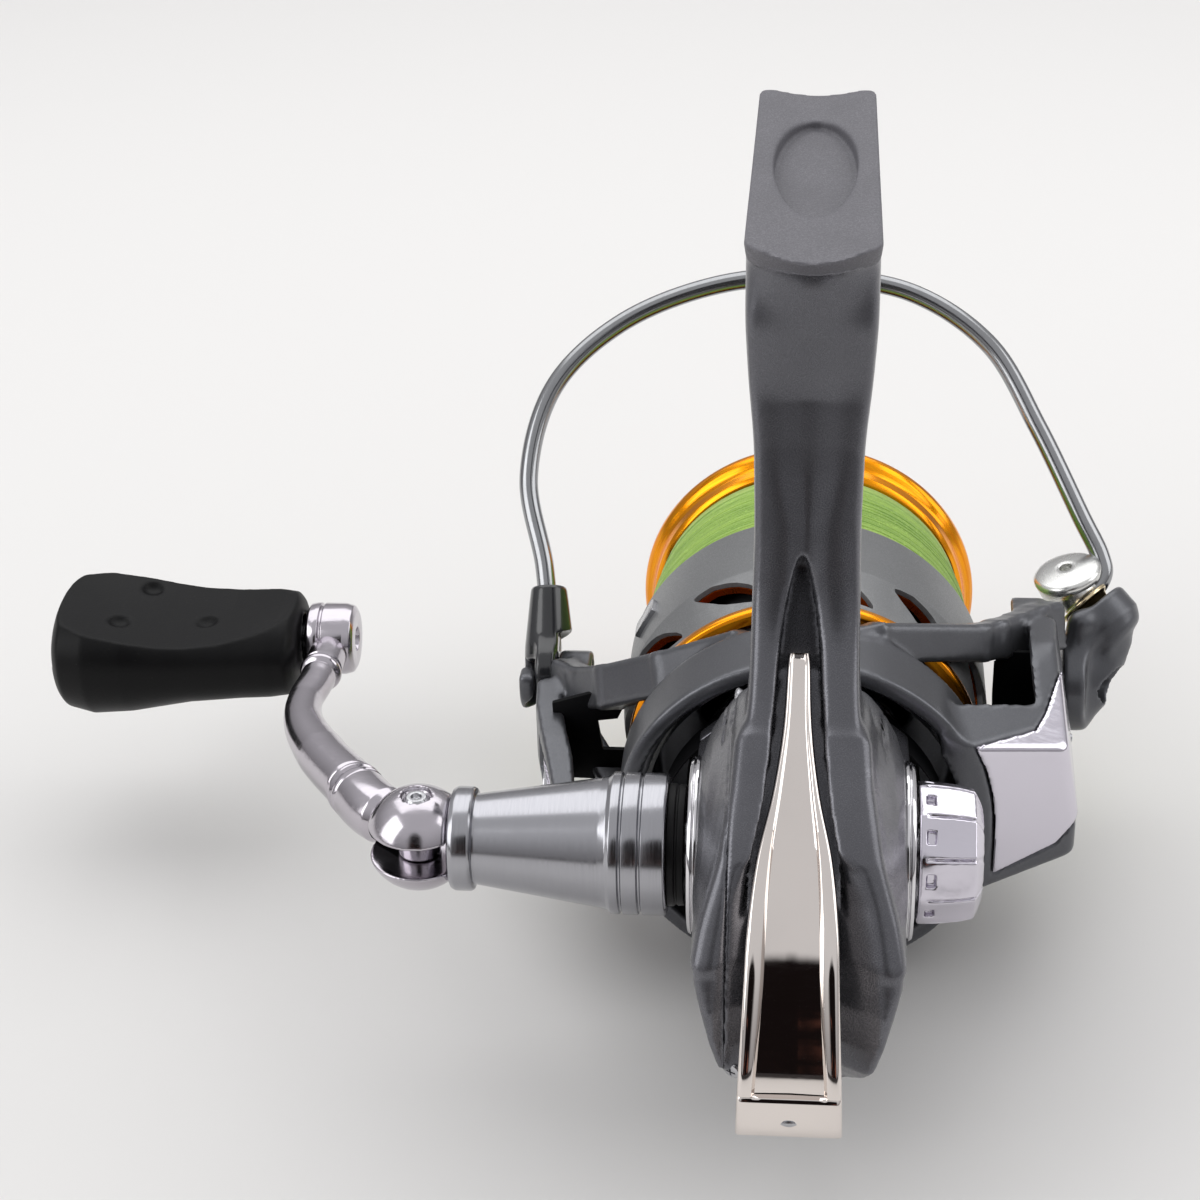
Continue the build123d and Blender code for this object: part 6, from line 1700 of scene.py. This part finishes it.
@dataclass
class Bail:
    """Bail wire with its holder on the left, and the line roller's arm, roller and cone on the right."""

    wire_radius: float = 1.25
    screw_bore: float = 1.62
    head_bore: float = 2.52
    wire_line: tuple[Flat, ...] = ((-33.9, 3), (-34, 6), (-34.9, 14), (-37.5, 26), (-34.6, 38.5),
        (-26, 47.4), (-13, 53), (0, 54.2), (13, 52.2), (23.3, 45.2),
        (29.8, 34), (35.6, 21.8), (37.9, 17), (38.35, 14.6))
    axis: Point = (-0.67, 0.476, 0.567)
    middle: Point = (37.2, 54.914, 7.048)

    def spot(self, along_axis: float) -> np.ndarray:
        """Point of the roller's axis, so far from the middle of the roller."""
        return np.array(self.middle) + along_axis * unit(self.axis)

    def wire(self) -> None:
        """Bend the wire and its hooked end."""
        points = [on_bail(x, reach) for x, reach in self.wire_line]
        neck = self.spot(3.9)
        tip = self.spot(4.5)
        points += [neck + np.array((2.75, 0.3, 0.35)), neck + np.array((1.5, -0.35, -0.35)), tip]
        path = curve(points, 300)
        Shop.piece("bail_wire_loop", tube(path, self.wire_radius, 40),
            Surfaces.WIRE, "bail", "stainless", ["bail_wire"], 60)

    def holder(self) -> None:
        """Mould the holder of the wire's plain end, with its painted plate."""
        g = Block((-38.7, 42.8, -6.2), (-29.6, 60.2, 14.6), 0.2)
        swing = np.hypot(g.y - PIVOT_Y, g.z)
        hub = common(swing - 4.7, slab(g.x, -35.2, -32.6), 0.7)
        start, end = on_bail(-33.7, 1.2), on_bail(-34.2, 11.4)
        t, r = around(g, start, unit(end - start))
        socket = common(r - along(((0, 3.3), (2, 3.25), (8, 2.6), (10, 2.35)), t), slab(t, 0.2, 10.0), 0.6)
        ear = common(swing - 5.3, -32.6 - g.x)
        shape = join(hub, cut(socket, ear, 0.3), 0.8)
        shape = common(shape, -38.4 - g.x, 0.6)
        plate_hub = common(swing - 5.1, slab(g.x, -37.2, -35.25), 0.8)
        plate_hub = common(plate_hub, g.z + 0.12 * (g.y - PIVOT_Y) - 1.4, 0.7)
        plate_hub = cut(plate_hub, r - along(((0, 3.4), (10, 3)), t), 0.2)
        plate_hub = cut(plate_hub, common(swing - 2.3, g.x + 36.4), 0.15)
        Shop.piece("holder_plate", g.surface(plate_hub),
            Surfaces.ROTOR, "bail", "holder_black", ["bail_holder"], 50)
        shape = cut(shape, common(r - 1.4, 1.4 - t), 0.12)
        shape = cut(shape, common(r - 1.75, 9.7 - t), 0.15)
        shape = cut(shape, swing - self.screw_bore)
        shape = cut(shape, common(swing - self.head_bore, g.x + 37.4), 0.12)
        Shop.piece("wire_holder", g.surface(shape), Surfaces.GLOSS_BLACK,
            "bail", "holder_black", ["bail_holder"], 50)

    def arm(self) -> None:
        """Cast the hooked arm that wraps the line roller."""
        g = Block((32.4, 42.8, -9.4), (44, 60.4, 13.6), 0.22)
        s, r = around(g, self.middle, unit(self.axis))
        swing = np.hypot(g.y - PIVOT_Y, g.z)
        hub = common(swing - 5.3, slab(g.x, 32.85, 35.6), 0.6)
        cup = common(r - along(((-4.6, 4), (-2.6, 4.9), (0.8, 4.95)), s), slab(s, -4.6, 0.7), 0.9)
        low = rounded_bar(g, ((34.9, 48.2, -3.6), (36.9, 50, 0.4)), 2.35)
        high = rounded_bar(g, ((36.4, 49.8, 0.2), (39, 52.2, 4.2)), 2.9)
        spine = rounded_bar(g, ((34.4, 49, 3), (35, 50.4, 8.2)), 1.5)
        body = join(join(hub, join(low, high, 3.8), 2.2), join(cup, spine, 1.8), 2.2)
        body = common(body, 32.85 - g.x, 0.3)
        body = common(body, g.x - 43.2, 0.8)
        body = cut(body, common(r - 4.05, slab(s, -2.45, 9.0)), 0.25)
        body = cut(body, common(swing - self.head_bore, 34.62 - g.x), 0.12)
        body = cut(body, swing - self.screw_bore)
        body = cut(body, r - 1.02)
        Shop.piece("roller_arm_hook", g.surface(body),
            Surfaces.ROTOR, "bail", "rotor_paint", ["roller_arm"], 50)

    def roller(self) -> None:
        """Turn the line roller with its groove, the domed cone beyond it, and their pin."""
        line = [(-2.2, 1.5), (-2.2, 3.35), (-2, 3.6), (-1.5, 3.6), (-1, 3.15), (-0.2, 2.75),
            (0.6, 2.7), (1.4, 3.15), (1.7, 3.55), (2.1, 3.55), (2.2, 3.35), (2.2, 1.5)]
        spin = turned(line, Axis.Z, (0, 0), 96, 0.12)
        Shop.piece("grooved_roller", standing(spin, self.middle, self.axis),
            Surfaces.ROLLER, "roller", "titanium_gold", ["line_roller"], 40)
        Shop.piece("pale_cone", self.cone(), Surfaces.CONE, "bail", "alloy", ["roller_cone"], 40)
        pin = [(-4.7, 0), (-4.7, 0.75), (-4.5, 0.98), (6.9, 0.98),
            (7.1, 0.8), (7.1, 0.4), (6.7, 0.3), (6.7, 0)]
        form = standing(turned(pin, Axis.Z, (0, 0), 40, 0.05), self.middle, self.axis)
        Shop.piece("roller_axle", form, Surfaces.STEEL, "bail", "stainless", ["roller_pin"], 40)

    def cone(self) -> Form:
        """Form the cone, which opens from the roller into a wide tilted dome with a hole.

        Returns:
            The form.
        """
        way = unit(self.axis)
        face = np.array((33.4, 57, 12.3))
        out = unit((-0.3, -0.04, 0.95))
        rows = [(self.spot(2.36), way, 1.1), (self.spot(2.36), way, 2.6), (self.spot(2.6), way, 2.75),
            (self.spot(3.3), way * 0.9 + out * 0.1, 2.8), (self.spot(4.0), way * 0.7 + out * 0.3, 3.1),
            (self.spot(4.8), way * 0.4 + out * 0.6, 3.75), (face - out * 1.25, out, 4.3),
            (face - out * 0.8, out, 4.42), (face - out * 0.4, out, 4.4), (face - out * 0.15, out, 4.2),
            (face + out * 0.05, out, 3.8), (face + out * 0.3, out, 2.8), (face + out * 0.5, out, 1.6),
            (face + out * 0.54, out, 0.95), (face + out * 0.45, out, 0.82), (face - out * 0.6, out, 0.78)]
        sections = []
        for centre, normal, radius in rows:
            normal = unit(normal)
            first = unit(np.cross(normal, (0, 1, 0)))
            second = np.cross(normal, first)
            angle = np.linspace(0, 2 * np.pi, 96, endpoint=False)[:, None]
            sections.append(centre + radius * (first * np.cos(angle) + second * np.sin(angle)))
        return rings(sections)

    def screws(self) -> None:
        """Turn the two screws on which the bail swings."""
        near = [(28.6, 0), (28.6, 1.2), (28.9, 1.5), (34.66, 1.5), (34.7, 2.35),
            (35.25, 2.35), (35.45, 2.1), (35.45, 0.9), (35.1, 0.75), (35.1, 0)]
        far = [(-35.15, 0), (-35.15, 1.2), (-34.9, 1.45), (-28.9, 1.45), (-28.6, 1.2), (-28.6, 0)]
        form = combined(turned(line, Axis.X, (PIVOT_Y, 0), 48, 0.06) for line in (near, far))
        Shop.piece("bail_pivot_screws", form, Surfaces.STEEL_X, "rotor", "stainless", ["bail_screws"], 40)

    def build(self) -> None:
        """Build the bail."""
        self.screws()
        self.wire()
        self.holder()
        self.arm()
        self.roller()


# ---- spool
@dataclass
class Spool:
    """Spool with its skirt, coloured rings, wound line, clip and drag knob."""

    slots: int = 11
    slot_line: tuple[Flat, ...] = ((-13.4, 37.25), (-11.6, 37.5), (-6.5, 37.7), (2, 36.6),
        (8, 34.9), (13, 32.8), (13.2, 32.1), (7.5, 32.25), (-2, 33.3), (-6.5, 34.5), (-13, 36.7))
    slot_half: Flat = (10.0, 2.6)
    first_slot: float = -24.4
    turns: int = 34
    strand: float = 0.26
    clip_at: float = -62.0
    flutes: int = 14

    def lathe(self, line: Sequence[Flat], ease: float = 0.2, steps: int = 192) -> Form:
        """Form turned around the spool axis."""
        return turned(line, Axis.Y, (0, 0), steps, ease)

    def cutters(self, grow: float, low: float, high: float) -> Form:
        """Plugs of the skirt's slanted slots.

        Args:
            grow: How much wider than the slot.
            low: Inner radius.
            high: Outer radius.

        Returns:
            All plugs as one form.
        """
        plugs = []
        flat = np.array(eased(self.slot_line, 0.5, 3, closed=True))
        middle = flat.mean(axis=0)
        flat = middle + (flat - middle) * (1 + grow / np.array(self.slot_half))
        for k in range(self.slots):
            sections = []
            for radius in (low, high):
                angle = np.radians(flat[:, 0] + self.first_slot + k * 360 / self.slots)
                ring = np.stack([radius * np.sin(angle), flat[:, 1], radius * np.cos(angle)], axis=1)
                sections.append(ring)
            plugs.append(rings(sections))
        return combined(plugs)

    def body(self) -> None:
        """Turn the body, its liner and its web, and pierce their slots and holes."""
        line = [(48.5, 22.4), (38.2, 22.4), (31.4, 20.95), (31.4, 21.6), (38, 23), (49.4, 23),
            (50, 22.4), (50, 15), (67, 15), (67, 18.9), (68.8, 18.9), (68.8, 13.2), (48.5, 13.2)]
        Shop.piece("spool_shell", self.lathe(line, 0.22), Surfaces.SKIRT,
            "spool", "skirt_grey", ["spool_body"], 28, self.cutters(0.0, 18.0, 26.0))
        line = [(31.45, 19.9), (31.45, 20.9), (38.3, 22.35), (47, 22.35), (47, 21.6), (38.5, 21.6)]
        Shop.piece("skirt_liner", self.lathe(line, 0.12), Surfaces.SLOT_RIM, "spool",
            "orange_anodised", ["spool_body"], 28, self.cutters(-0.12, 18.0, 26.0))
        web = self.lathe([(46, 3.2), (46, 5.4), (58, 5.4), (58, 13.6), (60.2, 13.6), (60.2, 3.2)], 0.3, 96)
        hole = [(57, 0), (57, 1.5), (61.5, 1.5), (61.5, 0)]
        angles = [math.radians(60 * k) for k in range(6)]
        holes = combined(turned(hole, Axis.Y, (9.2 * math.cos(a), 9.2 * math.sin(a)), 32, 0.0)
            for a in angles)
        Shop.piece("spool_web", web, Surfaces.SKIRT, "spool", "skirt_grey", ["spool_body"], 28, holes)

    def rings_and_lip(self) -> None:
        """Turn the rear ring and the front lip."""
        rear = [(29.6, 20.2), (29.6, 21.3), (29.85, 21.75),
            (30.3, 21.9), (31, 21.9), (31.3, 21.7), (31.35, 20.2)]
        Shop.piece("rear_ring", self.lathe(rear, 0.1), Surfaces.LIP,
            "spool", "orange_anodised", ["spool_rear_ring"], 40)
        lip = [(68.9, 13.3), (68.85, 18.95), (67.05, 18.95), (67.1, 20.5), (67.7, 21.05), (68.9, 21.25),
            (69.3, 21.5), (69.9, 22.1), (70.5, 22.45), (71.1, 22.5), (71.6, 22.35), (72, 21.7), (72, 21),
            (71.7, 20.6), (71.2, 20.2), (71.2, 16.4), (71.5, 16), (71.5, 15.4), (70.9, 14.9), (70.8, 13.3)]
        Shop.piece("front_lip", self.lathe(lip, 0.15, 224),
            Surfaces.LIP, "spool", "orange_anodised", ["spool_lip"], 40)

    def line(self) -> None:
        """Wind the line: a packed bed under crossing outer turns."""
        rear, front = 50.25, 66.75
        bed = [(rear, 15.1), (rear, 21.3), (58.5, 21.15), (front - 0.3, 20.5), (front, 20.1), (front, 15.1)]
        form = self.lathe(bed, 0.3, 160)
        chance = np.random.default_rng(5)
        knots = 90
        for lead, phase in ((1, 0), (-1, 1.7)):
            count = self.turns * 72
            t = np.linspace(0, 1, count)
            y = rear + 0.35 + (front - rear - 0.7) * (t if lead > 0 else 1 - t)
            angle = phase + t * self.turns * 2 * np.pi
            wobble = np.interp(t, np.linspace(0, 1, knots), chance.normal(0, 0.05, knots))
            radius = np.interp(y, (rear, 58.5, front), (21.42, 21.16, 20.1)) + wobble
            radius = radius + (0.1 if lead > 0 else -0.05)
            path = np.stack([radius * np.sin(angle), y, radius * np.cos(angle)], axis=1)
            form = form + tube(path, self.strand, 8)
        Shop.piece("braided_winding", form, Surfaces.BRAID, "spool", "line_green", ["line_winding"], 60)

    def clip(self) -> None:
        """Bend the small clip that parks the line's end."""
        flat = [(43.2, -2.2), (43.5, -2.4), (45.6, -2.4),
            (46, -2), (46, 2), (45.6, 2.4), (43.5, 2.4), (43.2, 2.2)]
        sections = []
        for radius in (22.9, 23.35, 23.6, 23.66):
            pull = 0.9 if radius > 23.65 else 1.0
            rows = [(44.6 + (y - 44.6) * pull, w * pull) for y, w in flat]
            angle = [math.radians(self.clip_at) + w / 23.0 for _, w in rows]
            sections.append(np.array([(radius * math.sin(a), y, radius * math.cos(a))
                for a, (y, _) in zip(angle, rows)]))
        Shop.piece("parking_clip", rings(sections), Surfaces.STEEL, "spool", "stainless", ["line_clip"], 40)

    def knob(self) -> None:
        """Mould the drag knob with its grip flutes and its finger bar."""
        g = Block((-12.9, 71.1, -12.9), (12.9, 85.3, 12.9), 0.24)
        r = np.hypot(g.x, g.z)
        rim = along(((71.2, 6), (72.9, 6), (73, 12.3),
            (73.6, 12.6), (78, 12.3), (79.3, 10.4), (79.5, 10.2)), g.y)
        base = common(r - rim, slab(g.y, 71.4, 79.4), 0.4)
        angle = np.arctan2(g.z, g.x)
        pitch = 2 * math.pi / self.flutes
        folded = (angle + pitch / 2) % pitch - pitch / 2
        flute = np.hypot(r * np.cos(folded) - 13.15, r * np.sin(folded)) - 1.0
        base = cut(base, common(flute, g.y - 78.2), 0.35)
        bow = along(((79, 10.4), (81.5, 9.4), (83.6, 8.3), (85, 6.6)), g.y)
        grip = common(common(np.abs(g.x) - 2.7 - 0.012 * g.z**2 * 0.3, r - bow, 0.8),
            slab(g.y, 77.0, 85.0), 0.8)
        shape = join(base, grip, 1.2)
        dish = common(common(r - 9.6, 78.9 - g.y), 3.6 - np.abs(g.x), 0.6)
        shape = cut(shape, dish, 0.6)
        shape = cut(shape, common(r - 1.95, g.y - 82.2))
        Shop.piece("drag_dial", g.surface(shape), Surfaces.BLACK,
            "drag", "black_plastic", ["drag_knob"], 50)

    def build(self) -> None:
        """Build the spool."""
        self.body()
        self.rings_and_lip()
        self.line()
        self.clip()
        self.knob()


# ---- works
@dataclass
class Works:
    """The inner parts, the bearings and the screws, with their finishes."""

    finishes: tuple[tuple[Surfaces, tuple[str, ...]], ...] = (
        (Surfaces.STEEL_X, ("gear_bearings", "gear_post", "drive_axle", "handle_rod", "knob_shaft")),
        (Surfaces.STEEL, ("pinion_bearings", "one_way_clutch", "clutch_sleeve", "slider_guide", "main_shaft",
            "shaft_fasteners", "nut_lock", "drag_discs", "drag_clip", "drag_spring")),
        (Surfaces.ZINC, ("drive_gear", "oscillation_gear", "balance_weight", "oscillation_slider")),
        (Surfaces.BRASS, ("axle_spur", "pinion_gear", "rotor_nut")),
        (Surfaces.GASKET, ("friction_ring",)),
        (Surfaces.BLACK, ("neck_cover", "knob_bushes", "roller_bush", "click_gear", "spool_bush",
            "click_pawl")),
        (Surfaces.FELT, ("drag_felts",)))

    def screws(self) -> None:
        """Make the screws of the case: two at the tail, two on the cover and two at the neck."""
        head = [(-5.2, 0), (-5.2, 0.6), (-4.9, 0.92), (-1.3, 0.92),
            (-1.25, 1.55), (-0.55, 1.9), (-0.2, 1.7), (0, 1.2), (0.05, 0)]
        body = turned(head, Axis.Z, (0, 0), 56, 0.08)
        arms = [(-1.15, -0.22), (-0.22, -0.22), (-0.22, -1.15), (0.22, -1.15), (0.22, -0.22), (1.15, -0.22),
            (1.15, 0.22), (0.22, 0.22), (0.22, 1.15), (-0.22, 1.15), (-0.22, 0.22), (-1.15, 0.22)]
        cross = rings([np.array([(x * s, y * s, z) for x, y in arms])
            for z, s in ((-0.75, 0.62), (0.3, 1))])
        places = [
            ((-0.6, -34.35, -3.6), (0, -0.8, -0.6), 0.95), ((-6.9, -27.3, -2.2), (-0.5, -0.85, -0.2), 0.6),
            ((-7.95, -16, -5), (-1, 0, 0), 0.8), ((-7.95, 11, 20), (-1, 0, 0), 0.8),
            ((9.4, 28.6, 7.6), (0, 1, 0), 0.7), ((-9.4, 28.6, -7.6), (0, 1, 0), 0.7)]
        whole, plugs = (combined(standing(Form(one.points * size, one.faces), centre, way)
            for centre, way, size in places) for one in (body, cross))
        Shop.piece("case_screw_set", whole, Surfaces.STEEL,
            "housing", "stainless", ["case_screws"], 34, plugs)

    def build(self) -> None:
        """Make the screws and give every CAD part that shows its finish."""
        self.screws()
        for surface, names in self.finishes:
            for name in names:
                dress(frame["nodes"][name], surface)


# ---- studio
@dataclass
class Studio:
    """Pale floor, soft lamps, soft room and camera."""

    camera_at: Point = (0.772, -237.186, 176.460)
    aim: Point = (-23.97, 20.0, 27.68)
    roll: float = -1.49
    lens: float = 76.89
    floor_z: float = -22.4
    floor_colour: Colour = (0.80, 0.79, 0.775)
    far_floor: Colour = (0.03, 0.025, 0.025)
    low_wall: Colour = (0.42, 0.41, 0.42)
    high_wall: Colour = (0.95, 0.95, 0.97)
    patch_dark: Colour = (0.010, 0.007, 0.007)
    patch_warm: Colour = (0.26, 0.10, 0.07)
    strength: float = 0.72

    def camera(self) -> None:
        """Place the camera."""
        data = bpy.data.cameras.new("camera")
        data.lens = self.lens
        data.sensor_width = 36.0
        data.clip_start = 0.01
        made = bpy.data.objects.new("camera", data)
        bpy.context.scene.collection.objects.link(made)
        run = (Vector(self.aim) - Vector(self.camera_at)).normalized()
        turn = run.to_track_quat("-Z", "Y").to_matrix() @ Matrix.Rotation(math.radians(self.roll), 3, "Z")
        made.matrix_world = Matrix.Translation(to_frame(self.camera_at)) @ turn.to_4x4()
        bpy.context.scene.camera = made

    def floor(self) -> None:
        """Lay the floor: paler beyond the reel with painted shade nearer the camera, dark well behind the
        camera's side.
        """
        mesh = bpy.data.meshes.new("floor")
        size = 4.0
        low = to_frame((0, 0, self.floor_z)).z - 0.0002
        corners = [(-size, -size, low), (size, -size, low), (size, size, low), (-size, size, low)]
        mesh.from_pydata(corners, [], [(0, 1, 2, 3)])
        made = bpy.data.objects.new("floor", mesh)
        bpy.context.scene.collection.objects.link(made)
        material = bpy.data.materials.new("floor")
        material.use_nodes = True
        graph = Graph(material.node_tree)
        depth = graph.part(graph.place(), Axis.Y)
        # Painted shade: the floor's colour darkens towards the camera, standing in for the fall of the
        # light.
        near = tuple(c * 0.93 for c in self.floor_colour)
        colour = graph.mix(graph.span(depth, -0.08, 0.3), near, self.floor_colour)
        colour = graph.mix(graph.span(depth, -0.5, -0.3), self.far_floor, colour)
        shader = graph.add("ShaderNodeBsdfPrincipled", {},
            {"Base Color": colour, "Roughness": 0.75, "Specular IOR Level": 0.15})
        graph.node("ShaderNodeOutputMaterial", {}, {"Surface": shader})
        mesh.materials.append(material)

    def lamp(self, name: str, at: Point, aim: Point, size: Flat,
            power: float, colour: Colour = (1, 1, 1)) -> None:
        """Hang a soft lamp.

        Args:
            name: Name of the lamp.
            at: Its place in millimetres.
            aim: What it faces.
            size: Width and height in metres.
            power: Power in watts.
            colour: Colour of its light.
        """
        data = bpy.data.lights.new(name, "AREA")
        data.shape = "RECTANGLE"
        data.size, data.size_y = size
        data.energy = power
        data.color = colour
        made = bpy.data.objects.new(name, data)
        bpy.context.scene.collection.objects.link(made)
        run = (Vector(aim) - Vector(at)).normalized()
        turn = run.to_track_quat("-Z", "Y").to_matrix().to_4x4()
        made.matrix_world = Matrix.Translation(to_frame(at)) @ turn

    def room(self) -> None:
        """Light the room: pale above, darker low down, with a dark patch on the camera's side."""
        world = bpy.data.worlds.new("room")
        bpy.context.scene.world = world
        world.use_nodes = True
        graph = Graph(world.node_tree)
        way = graph.add("ShaderNodeTexCoord", {}, {}, "Generated")
        height = graph.part(way, Axis.Z)
        walls = graph.mix(graph.span(height, -0.1, 0.75), self.low_wall, self.high_wall)
        aside = graph.add("ShaderNodeMath", {"operation": "ABSOLUTE"}, {0: graph.part(way, Axis.X)})
        blur = graph.noise(5.0, 2.0, 0.5, way)
        top = height + aside * aside * 3.0 + (blur - 0.5) * 0.06
        patch = graph.span(top, 0.64, 0.72, 1.0, 0.0) * graph.span(aside, 0.15, 0.32, 1.0, 0.0)
        patch = patch * graph.span(graph.part(way, Axis.Y), -0.5, -0.3, 1.0, 0.0)
        warm = graph.span(graph.noise(7.0, 3.0, 0.6, way), 0.5, 0.6) * graph.span(aside, 0.05, 0.1)
        warm = warm * graph.span(height, 0.3, 0.36, 1.0, 0.0)
        low = graph.mix(warm, self.patch_dark, self.patch_warm)
        colour = graph.mix(patch, walls, low)
        background = graph.add("ShaderNodeBackground", {}, {"Color": colour, "Strength": self.strength})
        graph.node("ShaderNodeOutputWorld", {}, {"Surface": background})

    def build(self) -> None:
        """Set up the studio."""
        self.camera()
        self.floor()
        self.room()
        self.lamp("overhead_softbox", (-60, 330, 560), (0, 10, 10), (0.9, 0.6), 2.2)
        self.lamp("left_softbox", (-420, -160, 240), (0, 10, 20), (0.3, 0.4), 0.8)
        self.lamp("right_fill", (420, 60, 260), (0, 10, 20), (0.3, 0.4), 0.6)
        bpy.context.scene.view_settings.view_transform = "Standard"


MAKERS = [Body, Guard, Trim, Handle, Rotor, Bail, Spool, Works]


def main() -> None:
    """Build every sub-assembly in order."""
    logging.basicConfig(level=logging.INFO, format="%(message)s")
    for maker in MAKERS:
        maker().build()
    Studio().build()
    bpy.context.view_layer.update()


if __name__ == "__main__":
    main()
